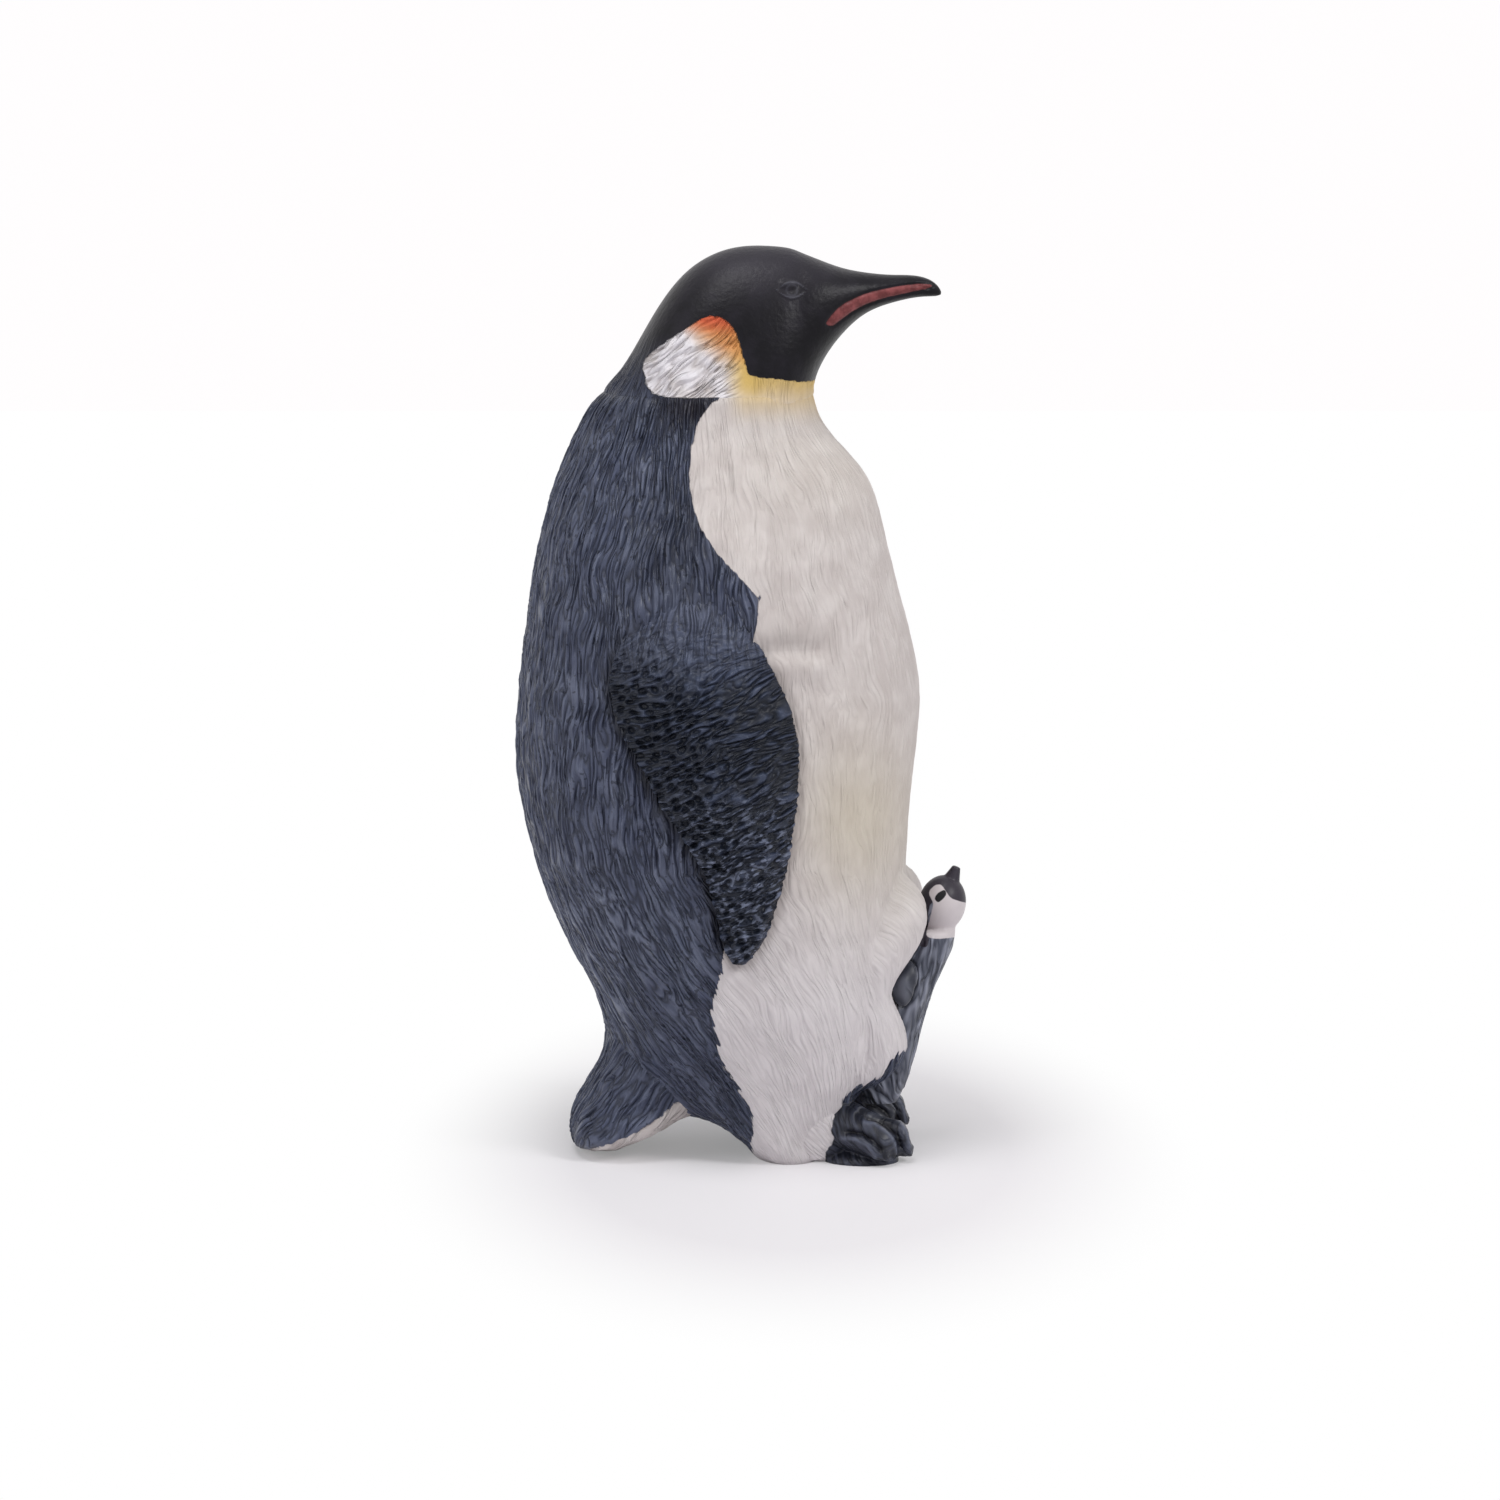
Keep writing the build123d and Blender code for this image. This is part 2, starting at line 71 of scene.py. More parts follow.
# %% Photograph pixels of a point
TINY = 1e-9
PIXEL = FRAME_WIDTH / PHOTO_SIZE / MM
camera_right = np.array((1.0, 0, 0))
camera_up = np.array(away.cross(Vector(camera_right)))
camera_eye = np.array(camera.location) / MM


def seen(points):
    """Photograph pixels of points in millimetres, with the far flank drawn as the near one."""
    near = points.copy()
    near[:, 1] = -abs(near[:, 1])
    ray = near - camera_eye
    zoom = CAMERA_DISTANCE / MM / PIXEL / -(ray @ np.array(away))
    column = PHOTO_SIZE / 2 + ray @ camera_right * zoom
    row = PHOTO_SIZE / 2 - ray @ camera_up * zoom
    return np.stack([column, row], 1)


print("one photograph pixel is", round(PIXEL, 4), "mm")

# %% [markdown]
# A painted border could be a mask image, but an outline of a few corners is sharper and easier to
# change. A smooth curve runs through its corners, and each point of a skin learns how far inside or
# outside that curve it lies. Open paths give the distance to a line in the same way.

# %% Outlines and paths
def rounded(outline, steps=6):
    """A closed outline with a smooth curve through its corners."""
    corners = np.array(outline, float)
    before, after, beyond = (np.roll(corners, shift, axis=0) for shift in (1, -1, -2))
    curve = []
    for share in np.arange(steps) / steps:
        bend = 2 * before - 5 * corners + 4 * after - beyond
        twist = 3 * corners - before - 3 * after + beyond
        curve.append(corners + share / 2 * (after - before + share * (bend + share * twist)))
    return np.stack(curve, 1).reshape(-1, 2)


def to_line(pixels, start, end):
    """How far pixels lie from a straight line between two of them."""
    run = end - start
    share = np.clip((pixels - start) @ run / max(run @ run, TINY), 0, 1)
    return np.linalg.norm(pixels - start - share[:, None] * run, axis=1)


def off_path(points, path):
    """How far points lie from an open path of photograph pixels, in millimetres."""
    corners = np.array(path, float)
    pixels = seen(points)
    return np.min([to_line(pixels, *ends) for ends in zip(corners, corners[1:])], axis=0) * PIXEL


def inside(points, outline):
    """How far points lie inside a closed outline of photograph pixels, in millimetres."""
    pixels = seen(points)
    corners = rounded(outline)
    nearest = np.full(len(pixels), np.inf)
    within = np.zeros(len(pixels), bool)
    for start, end in zip(corners, np.roll(corners, -1, axis=0)):
        run = end - start
        nearest = np.minimum(nearest, to_line(pixels, start, end))
        spans = (start[1] > pixels[:, 1]) != (end[1] > pixels[:, 1])
        crossing = start[0] + (pixels[:, 1] - start[1]) * run[0] / (run[1] or 1)
        within ^= spans & (pixels[:, 0] < crossing)
    return np.where(within, nearest, -nearest) * PIXEL


# %% [markdown]
# Paint and relief are both sums of patterns. One small class wraps a socket of a node tree, so that
# such a sum is written as a plain expression and each operator adds its Math node. It serves the
# geometry trees and the materials alike.

# %% Sums on sockets
class Wire:
    """One output of a node tree. Operators add Math nodes, and make adds any other node."""

    def __init__(self, tree, socket=None):
        self.tree = tree
        self.socket = socket

    def make(self, kind, settings=(), sockets=(), output=0):
        node = self.tree.nodes.new(kind)
        for name, value in dict(settings).items():
            if name == "stops":
                while len(node.color_ramp.elements) < len(value):
                    node.color_ramp.elements.new(1)
                for stop, (place, colour) in zip(node.color_ramp.elements, value):
                    stop.position = place
                    stop.color = colour
            else:
                setattr(node, name, value)
        for key, value in dict(sockets).items():
            by_identifier = [socket for socket in node.inputs if socket.identifier == key]
            socket = by_identifier[0] if by_identifier else node.inputs[key]
            if isinstance(value, Wire):
                self.tree.links.new(value.socket, socket)
            else:
                socket.default_value = value
        outputs = [socket for socket in node.outputs if socket.identifier == output]
        return Wire(self.tree, outputs[0] if outputs else node.outputs[output])

    def math(self, operation, *values):
        return self.make("ShaderNodeMath", {"operation": operation}, enumerate(values))

    def vector(self, operation, *values):
        return self.make("ShaderNodeVectorMath", {"operation": operation}, enumerate(values))

    def __add__(self, other):
        return self.math("ADD", self, other)

    def __radd__(self, other):
        return self.math("ADD", other, self)

    def __sub__(self, other):
        return self.math("SUBTRACT", self, other)

    def __rsub__(self, other):
        return self.math("SUBTRACT", other, self)

    def __mul__(self, other):
        return self.math("MULTIPLY", self, other)

    def __rmul__(self, other):
        return self.math("MULTIPLY", other, self)

    def __truediv__(self, other):
        return self.math("DIVIDE", self, other)

    def __rtruediv__(self, other):
        return self.math("DIVIDE", other, self)

    def __abs__(self):
        return self.math("ABSOLUTE", self)

    def lower(self, other):
        return self.math("MINIMUM", self, other)

    def upper(self, other):
        return self.math("MAXIMUM", self, other)

    def ease(self, low, high):
        """0 below low, 1 above high and a soft step between, or the other way round."""
        ends = {"From Min": low, "From Max": high}
        return self.make("ShaderNodeMapRange", {"interpolation_type": "SMOOTHSTEP"}, {0: self, **ends})

    def over(self, below, above):
        """One colour where this mask is 0 and another where it is 1."""
        ends = {"Factor_Float": self, "A_Color": below, "B_Color": above}
        return self.make("ShaderNodeMix", {"data_type": "RGBA"}, ends, "Result_Color")


TOE_END, TOE_SLOPE, CURVE_OFFSET, CURVE_POWER = 0.04045, 12.92, 0.055, 2.4


def linear(level):
    """The linear value of one level of a screen colour."""
    if level <= TOE_END:
        return level / TOE_SLOPE
    return ((level + CURVE_OFFSET) / (1 + CURVE_OFFSET)) ** CURVE_POWER


def tint(code):
    """A linear colour from the six-figure code of a screen colour."""
    return (*[linear(int(code[place:place + 2], 16) / 255) for place in (0, 2, 4)], 1)


# %% [markdown]
# Each moulding gets a skin of its own: a fine mesh that follows its solid, with enough points for
# feathers to be sculpted in. The small mouldings are remeshed in even voxels. The torso is drawn as
# rings instead, close together around it and wider apart up it, because its feathers run upright.

# %% Meshes in millimetres
WELD_REACH = 0.002
collection = bpy.context.scene.collection


def solid_mesh(node):
    """A copy of a solid's mesh in millimetres, its loose triangles merged."""
    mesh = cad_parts[node].data.copy()
    mesh.transform(Matrix.Scale(1 / MM, 4))
    work = bpy.data.objects.new("work", mesh)
    collection.objects.link(work)
    weld = work.modifiers.new("weld", "WELD")
    weld.merge_threshold = WELD_REACH
    return work


def baked(work):
    """The plain mesh of a working object with its modifiers, and the object removed."""
    mesh = bpy.data.meshes.new_from_object(work.evaluated_get(bpy.context.evaluated_depsgraph_get()))
    old = work.data
    bpy.data.objects.remove(work)
    if old.users == 0 and isinstance(old, bpy.types.Mesh):
        bpy.data.meshes.remove(old)
    return mesh


def rows(mesh, key):
    """What a mesh keeps for its points under a key, as rows of three numbers."""
    flat = np.empty(len(mesh.vertices) * 3, np.float32)
    mesh.vertices.foreach_get(key, flat)
    return flat.reshape(-1, 3).astype(float)


def places(mesh):
    """The points of a mesh."""
    return rows(mesh, "co")


def settle(mesh, points):
    """Move the points of a mesh."""
    mesh.vertices.foreach_set("co", points.astype(np.float32).ravel())
    mesh.update()


def note(mesh, name, values):
    """Keep a number or a vector for each point of a mesh."""
    kind, key = ("FLOAT", "value") if values.ndim == 1 else ("FLOAT_VECTOR", "vector")
    mesh.attributes.new(name, kind, "POINT").data.foreach_set(key, values.astype(np.float32).ravel())


def surface(node):
    """A search tree over a solid's surface, in millimetres."""
    work = solid_mesh(node)
    tree = BVHTree.FromPolygons(places(work.data).tolist(), [p.vertices[:] for p in work.data.polygons])
    baked(work)
    return tree


# %% Skins from voxels
SMOOTH_FACTOR = 0.5


def voxel_skin(node, voxel, passes, shape=None):
    """An even skin over a solid. A shape function may move the solid's own points first."""
    work = solid_mesh(node)
    if shape:
        settle(work.data, shape(places(work.data)))
    remesh = work.modifiers.new("remesh", "REMESH")
    remesh.mode = "VOXEL"
    remesh.voxel_size = voxel
    smooth = work.modifiers.new("smooth", "SMOOTH")
    smooth.iterations = passes
    smooth.factor = SMOOTH_FACTOR
    mesh = baked(work)
    print(node, "skin:", len(mesh.polygons), "faces")
    return mesh


# %% Skin of the torso
TORSO_HEIGHT = 75.0
TORSO_LEVELS = 125
TORSO_TURNS = 780
TORSO_REACH = 60.0
FLOW_RADIUS = 17.0
AXIS_HEIGHTS = (0, 10, 24, 75)
AXIS_PLACES = (-0.3, -3.0, -6.3, -8.0)
SEAM_INSET = 0.02
POUCH_TOP = 30.0
POUCH_SLANT = 0.4


def torso_rings():
    """Rings of points where rays from all sides first meet the torso, and their closed mesh."""
    solid = surface("torso")
    turns = np.arange(TORSO_TURNS) * 2 * math.pi / TORSO_TURNS
    points, flow = [], []
    for height in np.linspace(0, TORSO_HEIGHT, TORSO_LEVELS + 1):
        axis = Vector((np.interp(height, AXIS_HEIGHTS, AXIS_PLACES), 0, height))
        ray_height = min(max(height, SEAM_INSET), TORSO_HEIGHT - SEAM_INSET)
        for turn in turns:
            way = Vector((math.cos(turn), math.sin(turn), 0))
            start = Vector((axis.x, 0, ray_height)) + way * TORSO_REACH
            hit = solid.ray_cast(start, -way)[0]
            points.append((hit.x, hit.y, height))
            slant = turn - way.y * POUCH_SLANT * min(height - POUCH_TOP, 0) / FLOW_RADIUS
            flow.append((FLOW_RADIUS * math.cos(slant), FLOW_RADIUS * math.sin(slant), height))
    faces = []
    for level in range(TORSO_LEVELS):
        for turn in range(TORSO_TURNS):
            low, high = level * TORSO_TURNS, (level + 1) * TORSO_TURNS
            beside = (turn + 1) % TORSO_TURNS
            faces.append((low + turn, low + beside, high + beside, high + turn))
    last = TORSO_LEVELS * TORSO_TURNS
    for ring, height, order in ((0, 0, -1), (last, TORSO_HEIGHT, 1)):
        middle = len(points)
        points.append((np.interp(height, AXIS_HEIGHTS, AXIS_PLACES), 0, height))
        flow.append((0, 0, height))
        for turn in range(TORSO_TURNS):
            corners = (ring + turn, ring + (turn + 1) % TORSO_TURNS)[::order]
            faces.append((*corners, middle))
    mesh = bpy.data.meshes.new("torso")
    mesh.from_pydata(points, [], faces)
    note(mesh, "flow", np.array(flow))
    print("torso skin:", len(mesh.polygons), "faces")
    return mesh


# %% [markdown]
# The feathers are strands that a sculptor drew down the body: round backs with sharp valleys between
# them, and a deeper groove here and there. There are too many to draw as curves, so they are noise
# that is stretched along the strokes, with a valley wherever it crosses its middle value. A Geometry
# Nodes tree cuts them, and the materials use the same sums, so that the wash lies in the relief.

# %% Strands and grooves
NOISE_MIDDLE = 0.5
SWAY_RATE, SWAY_REACH = (0.25, 0.25, 0.16), (3, 3, 0)
STRAND_BACK, GROOVE_SIDE = 0.2, 0.05
GAP_RATE, GAP_EDGE = (0.9, 0.9, 0.3), (0.42, 0.60)
LUMP_RATE = (0.4, 0.4, 0.18)
FEATHER_WIDTH, FEATHER_LENGTH = 0.65, 4.5


def wrapped(across, along):
    """A flow drawn on a drum: its angle runs across the strokes and its height along them."""
    turn = across / FLOW_RADIUS
    return np.stack([FLOW_RADIUS * np.cos(turn), FLOW_RADIUS * np.sin(turn), along], 1)


def scaled(wire, vector, rate):
    """A vector stretched by a rate for each way."""
    return wire.vector("MULTIPLY", vector, rate)


def noise(wire, vector, seed, detail=1.0, roughness=0.5, output=0):
    """Noise at a vector that is already scaled."""
    sockets = {"Vector": vector, "W": seed, "Scale": 1.0, "Detail": detail, "Roughness": roughness}
    return wire.make("ShaderNodeTexNoise", {"noise_dimensions": "4D"}, sockets, output)


def waver(wire, flow, seed):
    """A flow that sways slowly from side to side."""
    sway = noise(wire, scaled(wire, flow, SWAY_RATE), seed, output="Color")
    sway = wire.vector("SUBTRACT", sway, (NOISE_MIDDLE, NOISE_MIDDLE, NOISE_MIDDLE))
    return wire.vector("ADD", flow, scaled(wire, sway, SWAY_REACH))


def strokes(wire, flow, seed, width, length):
    """Noise stretched along a flow, as its distance from the middle value."""
    rate = (1 / width, 1 / width, 1 / length)
    return abs(noise(wire, scaled(wire, flow, rate), seed) - NOISE_MIDDLE)


def strands(wire, flow, seed, width, length):
    """Round-backed strands along a flow, 0 in the sharp valleys between them and 1 on their backs."""
    return (strokes(wire, flow, seed + 3, width, length) / STRAND_BACK).lower(1)


def grooves(wire, flow, seed, width, length):
    """Sharp broken lines along a flow, 1 in a groove."""
    lines = strokes(wire, flow, seed + 8, width, length) / GROOVE_SIDE
    gaps = noise(wire, scaled(wire, flow, GAP_RATE), seed + 13)
    return (1 - lines.ease(0.1, 1.0)) * gaps.ease(*GAP_EDGE)


def lumps(wire, flow, seed):
    """Slow swelling of the clay under the strands."""
    return noise(wire, scaled(wire, flow, LUMP_RATE), seed + 21) - NOISE_MIDDLE


# %% Hatch and dimples of the flippers
HATCH_WIDTH, HATCH_LENGTH = 0.65, 2.4
DIMPLE_LENGTH, DIMPLE_HEIGHT, DIMPLE_SCATTER, DIMPLE_EDGE = 1.15, 0.70, 0.8, (0.12, 0.46)
DIMPLE_RATE, DIMPLE_RAG = (1.3, 1.3, 0.9), 0.7


def dimples(wire, flow, seed):
    """Uneven dimples, 1 in the middle of one."""
    parts = wire.make("ShaderNodeSeparateXYZ", (), {0: flow}).socket.node.outputs
    turn = wire.math("ARCTAN2", Wire(wire.tree, parts["Y"]), Wire(wire.tree, parts["X"]))
    along = Wire(wire.tree, parts["Z"]) * (1 / DIMPLE_LENGTH)
    spot = wire.make("ShaderNodeCombineXYZ", (), {0: along, 1: turn * (FLOW_RADIUS / DIMPLE_HEIGHT)})
    cells = {"voronoi_dimensions": "2D", "feature": "F1"}
    sockets = {"Vector": spot, "Scale": 1.0, "Randomness": DIMPLE_SCATTER}
    middle = wire.make("ShaderNodeTexVoronoi", cells, sockets, "Distance")
    ragged = noise(wire, scaled(wire, flow, DIMPLE_RATE), seed + 17, 2.0) - NOISE_MIDDLE
    return 1 - (middle + ragged * DIMPLE_RAG).ease(*DIMPLE_EDGE)


# %% Trees that cut the relief
def new_tree(name):
    """A geometry tree with named sizes and a material, and wires from its inputs."""
    tree = bpy.data.node_groups.new(name, "GeometryNodeTree")
    tree.interface.new_socket("Geometry", in_out="INPUT", socket_type="NodeSocketGeometry")
    for size in ("Depth", "Lump", "Seed"):
        tree.interface.new_socket(size, in_out="INPUT", socket_type="NodeSocketFloat")
    tree.interface.new_socket("Material", in_out="INPUT", socket_type="NodeSocketMaterial")
    tree.interface.new_socket("Geometry", in_out="OUTPUT", socket_type="NodeSocketGeometry")
    inputs = tree.nodes.new("NodeGroupInput")
    return tree, {socket.name: Wire(tree, socket) for socket in inputs.outputs if socket.name}


def attribute(wire, name, kind="FLOAT"):
    """A number or vector that the mesh keeps for each point."""
    return wire.make("GeometryNodeInputNamedAttribute", {"data_type": kind}, {"Name": name})


def close_tree(tree, inputs, height):
    """Push the surface along its normal by a height and the kept swell, and set the material."""
    wire = Wire(tree)
    height = height * attribute(wire, "relief") + attribute(wire, "swell")
    normal = wire.make("GeometryNodeInputNormal")
    push = wire.make("ShaderNodeVectorMath", {"operation": "SCALE"}, {0: normal, "Scale": height})
    geometry = wire.make("GeometryNodeSetPosition", (), {"Geometry": inputs["Geometry"], "Offset": push})
    geometry = wire.make("GeometryNodeRealizeInstances", (), {"Geometry": geometry})
    sockets = {"Geometry": geometry, "Material": inputs["Material"]}
    geometry = wire.make("GeometryNodeSetMaterial", (), sockets)
    result = tree.nodes.new("NodeGroupOutput")
    tree.links.new(geometry.socket, result.inputs["Geometry"])
    return tree


def feather_tree():
    """Strands and grooves on a lumpy surface."""
    tree, size = new_tree("feather relief")
    wire = Wire(tree)
    seed = size["Seed"]
    flow = waver(wire, attribute(wire, "flow", "FLOAT_VECTOR"), seed)
    height = strands(wire, flow, seed, FEATHER_WIDTH, FEATHER_LENGTH) - NOISE_MIDDLE
    height = (height - grooves(wire, flow, seed, FEATHER_WIDTH, FEATHER_LENGTH) * 0.5) * size["Depth"]
    return close_tree(tree, size, height + lumps(wire, flow, seed) * size["Lump"])


def flipper_tree():
    """Short hatch strokes, and dimples where the flipper is pitted."""
    tree, size = new_tree("flipper relief")
    wire = Wire(tree)
    seed = size["Seed"]
    flow = waver(wire, attribute(wire, "flow", "FLOAT_VECTOR"), seed)
    pitted = attribute(wire, "pitted")
    hatch = (strands(wire, flow, seed, HATCH_WIDTH, HATCH_LENGTH) - NOISE_MIDDLE) * (1 - pitted * 0.5)
    height = (hatch - dimples(wire, flow, seed) * pitted) * size["Depth"]
    return close_tree(tree, size, height + lumps(wire, flow, seed) * size["Lump"])


feathers = feather_tree()
flipper_strokes = flipper_tree()
print("relief trees:", len(feathers.nodes), "and", len(flipper_strokes.nodes), "nodes")


# %% Run a tree over a mesh
def sculpt(mesh, tree, material, depth, lump, seed):
    """Cut a relief into a mesh in millimetres and give back a plain mesh."""
    if "swell" not in mesh.attributes:
        note(mesh, "swell", np.zeros(len(mesh.vertices)))
    work = bpy.data.objects.new("work", mesh)
    collection.objects.link(work)
    relief = work.modifiers.new("relief", "NODES")
    relief.node_group = tree
    values = {"Depth": depth, "Lump": lump, "Seed": float(seed), "Material": material}
    for socket in tree.interface.items_tree:
        if socket.in_out == "INPUT" and socket.name in values:
            relief[socket.identifier] = values[socket.name]
    return baked(work)


# %% [markdown]
# Where two mouldings meet, the sculptor smoothed the clay over the joint. A skin swells a little where
# it comes near its neighbour, which rounds the inner corner between them. A boolean union with a
# bevel would round it too, but it would fuse two pieces that stay apart.

# %% Rounded inner corners
FILLET_SHARE = 0.25


def nearness(points, neighbour, reach, chosen):
    """1 where a chosen point touches a neighbour, 0 where it is further off than the reach."""
    share = np.zeros(len(points))
    for index in np.flatnonzero(chosen):
        near = neighbour.find_nearest(points[index], reach)
        if near[0] is not None:
            share[index] = 1 - near[3] / reach
    return share


def fillet(points, neighbour, reach, chosen):
    """How far chosen points swell to round the corner with a neighbour that is near."""
    return reach * FILLET_SHARE * nearness(points, neighbour, reach, chosen) ** 2


def relax(mesh, weight, passes):
    """Smooth a mesh where the weight is more than 0."""
    pairs = np.empty(len(mesh.edges) * 2, np.int32)
    mesh.edges.foreach_get("vertices", pairs)
    ends = np.concatenate([pairs.reshape(-1, 2), pairs.reshape(-1, 2)[:, ::-1]])
    count = np.bincount(ends[:, 0], minlength=len(mesh.vertices))
    points = places(mesh)
    for _ in range(passes):
        around = [np.bincount(ends[:, 0], points[ends[:, 1], way], len(points)) for way in range(3)]
        pull = np.stack(around, 1) / np.maximum(count, 1)[:, None] - points
        points += weight[:, None] * SMOOTH_FACTOR * pull
    settle(mesh, points)


# %% [markdown]
# The paint. Each moulding has a material of its own, but they share their colours and the way they
# fill the grooves, so that slate runs on from the back to the tail and white from the breast to the
# cheek. A painted border is a signed distance kept for each point, and a little noise makes its edge
# as uneven as a brush leaves it. A painted image could hold the borders too, but it blurs close up.

# %% Paint shared by the mouldings
SLATE_DEEP, SLATE, SLATE_DRY = tint("15171f"), tint("494f64"), tint("777e92")
WHITE_DEEP, WHITE, WHITE_DRY = tint("8f8683"), tint("c4bcb9"), tint("dad4d1")
BLACK, BLACK_DRY, CROWN_HIGHLIGHT_GREY = tint("0e0d12"), tint("1c1a21"), tint("48454e")
SNOW, CREAM = tint("e2dfe4"), tint("cbc1a6")
YELLOW, ORANGE, RED = tint("d0b062"), tint("cb7c42"), tint("c9523a")
TORSO_SEED, HEAD_SEED, FLIPPER_SEED = 4, 4, 2
TAIL_SEED, FOOT_SEED, CHICK_SEED = 12, 21, 31
FEATHER_BUMP, HEAD_BUMP, CHICK_BUMP, FOOT_BUMP = 0.0004, 0.00025, 0.0003, 0.0001
BODY_SHINE, HEAD_SHINE, SMALL_SHINE = 0.20, 0.14, 0.25
BRUSH_EDGE = (-0.06, 0.06)
SLATE_PATCH, WHITE_PATCH, SPECK = 3.5, 3.0, 0.45


def material(name):
    """A new material, the wire that its sums start from and its shader."""
    made = bpy.data.materials.new(name)
    made.use_nodes = True
    shader = next(node for node in made.node_tree.nodes if node.type == "BSDF_PRINCIPLED")
    return made, Wire(made.node_tree), shader


def kept(wire, name, output="Fac"):
    """A number or vector that the mesh keeps for each point."""
    return wire.make("ShaderNodeAttribute", {"attribute_name": name}, (), output)


def grain(wire, vector, size, detail=2.0):
    """Noise whose lumps have the given size in millimetres, one size or one for each way."""
    across = size if isinstance(size, tuple) else (size, size, size)
    return noise(wire, scaled(wire, vector, tuple(1 / way for way in across)), 0.0, detail)


def uneven(wire, vector, size, detail=3.0):
    """Noise about 0 that makes a brushed edge uneven."""
    return grain(wire, vector, size, detail) - NOISE_MIDDLE


def border(wire, name, ragged, edge=BRUSH_EDGE):
    """1 inside a kept outline and 0 outside it, with a ragged noise along the edge."""
    return (kept(wire, name) + ragged).ease(*edge)


def layered(wire, colour, layers):
    """A colour with others laid over it in turn, each where the mesh keeps a mask of that name."""
    for name, above in layers:
        colour = kept(wire, name).over(colour, above)
    return colour


def object_mm(wire):
    """The place of a point in millimetres."""
    place = wire.make("ShaderNodeTexCoord", (), (), "Object")
    return scaled(wire, place, (1 / MM, 1 / MM, 1 / MM))


def feathered(wire, seed, width=FEATHER_WIDTH, length=FEATHER_LENGTH, flow_name="flow"):
    """Strands and grooves for a paint and its bump. At the usual sizes they match the cut relief."""
    flow = waver(wire, kept(wire, flow_name, "Vector"), seed)
    return strands(wire, flow, seed, width, length), grooves(wire, flow, seed, width, length)


def slate_paint(wire, place, strand, groove):
    """Dark slate, paler on the strands and washed darker between them."""
    patchy = grain(wire, place, SLATE_PATCH, 4.0).ease(0.35, 0.75)
    colour = (patchy * 0.35 + strand.ease(0.3, 1.0) * 0.25).over(SLATE, SLATE_DRY)
    specks = grain(wire, place, SPECK, 0.0).ease(0.68, 0.74)
    lines = (groove * 0.6).upper(strand.ease(0.3, 0.0) * 0.6)
    return lines.upper(specks * 0.6).over(colour, SLATE_DEEP)


def white_paint(wire, place, strand, groove, wash=1.0):
    """Off-white with a thin warm wash between the strands."""
    patchy = grain(wire, place, WHITE_PATCH, 5.0).ease(0.3, 0.75)
    colour = (patchy * 0.7 + strand.ease(0.2, 1.0) * 0.2).over(WHITE, WHITE_DRY)
    lines = (groove * 0.10).upper(strand.ease(0.3, 0.0) * 0.08)
    return (lines * wash).over(colour, WHITE_DEEP)


def coat(shader, wire, colour, roughness, height, depth, specular):
    """Join colour, roughness and a bump of the given depth in metres to a shader."""
    links = wire.tree.links
    links.new(colour.socket, shader.inputs["Base Color"])
    if isinstance(roughness, Wire):
        links.new(roughness.socket, shader.inputs["Roughness"])
    else:
        shader.inputs["Roughness"].default_value = roughness
    bump = wire.make("ShaderNodeBump", (), {"Height": height, "Distance": depth, "Strength": 1.0})
    links.new(bump.socket, shader.inputs["Normal"])
    shader.inputs["Specular IOR Level"].default_value = specular


# %% [markdown]
# The torso's paint: slate behind, off-white in front, with a tufted border between them. The white
# cools towards the base and warms on the belly, and painted shade greys it above the breast's crease.
# The slate turns black near the cap. Painted shade darkens the upper flank and both colours along each
# flipper's edge, and a painted highlight lightens the strands of the low back. Each of these is a soft
# mask that the mesh keeps, laid over the base colour.

# %% Torso paint
WEDGE_BROWN = tint("262226")
TUFT_GRAIN = (0.7, 0.7, 1.6)
WHITE_LAYERS = (("cool", SNOW), ("cream", CREAM), ("shaded", WHITE_DEEP), ("throat", YELLOW))
SLATE_LAYERS = (("dusk", BLACK), ("wedge", WEDGE_BROWN), ("gloom", SLATE_DEEP), ("crevice", BLACK))


def torso_paint():
    """Slate back and white front."""
    made, wire, shader = material("torso paint")
    place, flow = object_mm(wire), kept(wire, "flow", "Vector")
    strand, groove = feathered(wire, TORSO_SEED)
    front = border(wire, "front", uneven(wire, flow, TUFT_GRAIN) * kept(wire, "tufts"))
    white = white_paint(wire, place, strand, groove, 0.7 + kept(wire, "cool") * 4.0)
    white = layered(wire, white, WHITE_LAYERS)
    # Painted shade: the white is painted grey along each flipper's edge
    white = (kept(wire, "crevice") * 0.6).over(white, WHITE_DEEP)
    slate = slate_paint(wire, place, strand, groove)
    # Painted highlight: the strands of the low back are painted paler slate
    slate = (kept(wire, "bloom") * strand.ease(0.1, 0.8)).over(slate, SLATE_DRY)
    slate = layered(wire, slate, SLATE_LAYERS)
    relief = (strand - groove * 0.35) * (1 - front * 0.8)
    coat(shader, wire, front.over(slate, white), 0.34 + front * 0.24, relief, FEATHER_BUMP, BODY_SHINE)
    return made


torso_finish = torso_paint()
print("torso paint:", len(torso_finish.node_tree.nodes), "nodes")

# %% [markdown]
# The head's paint: a black cap with a painted highlight of pale grey on top, an ear patch that runs
# from white through yellow and orange to red at its top, and a dull red stripe along the beak. The warm
# colours are laid over the white one after another, the hottest last, which blends them as wet paint does.

# %% Head paint
EAR_LAYERS = (("throat", YELLOW), ("glow", YELLOW), ("blaze", ORANGE), ("ember", RED))
STRIPE_DEEP, STRIPE_RED, LID_GREY = tint("663435"), tint("8c4d4e"), tint("55555f")
PATCH_EDGE, STRIPE_EDGE = (-0.06, 0.08), (-0.06, 0.10)


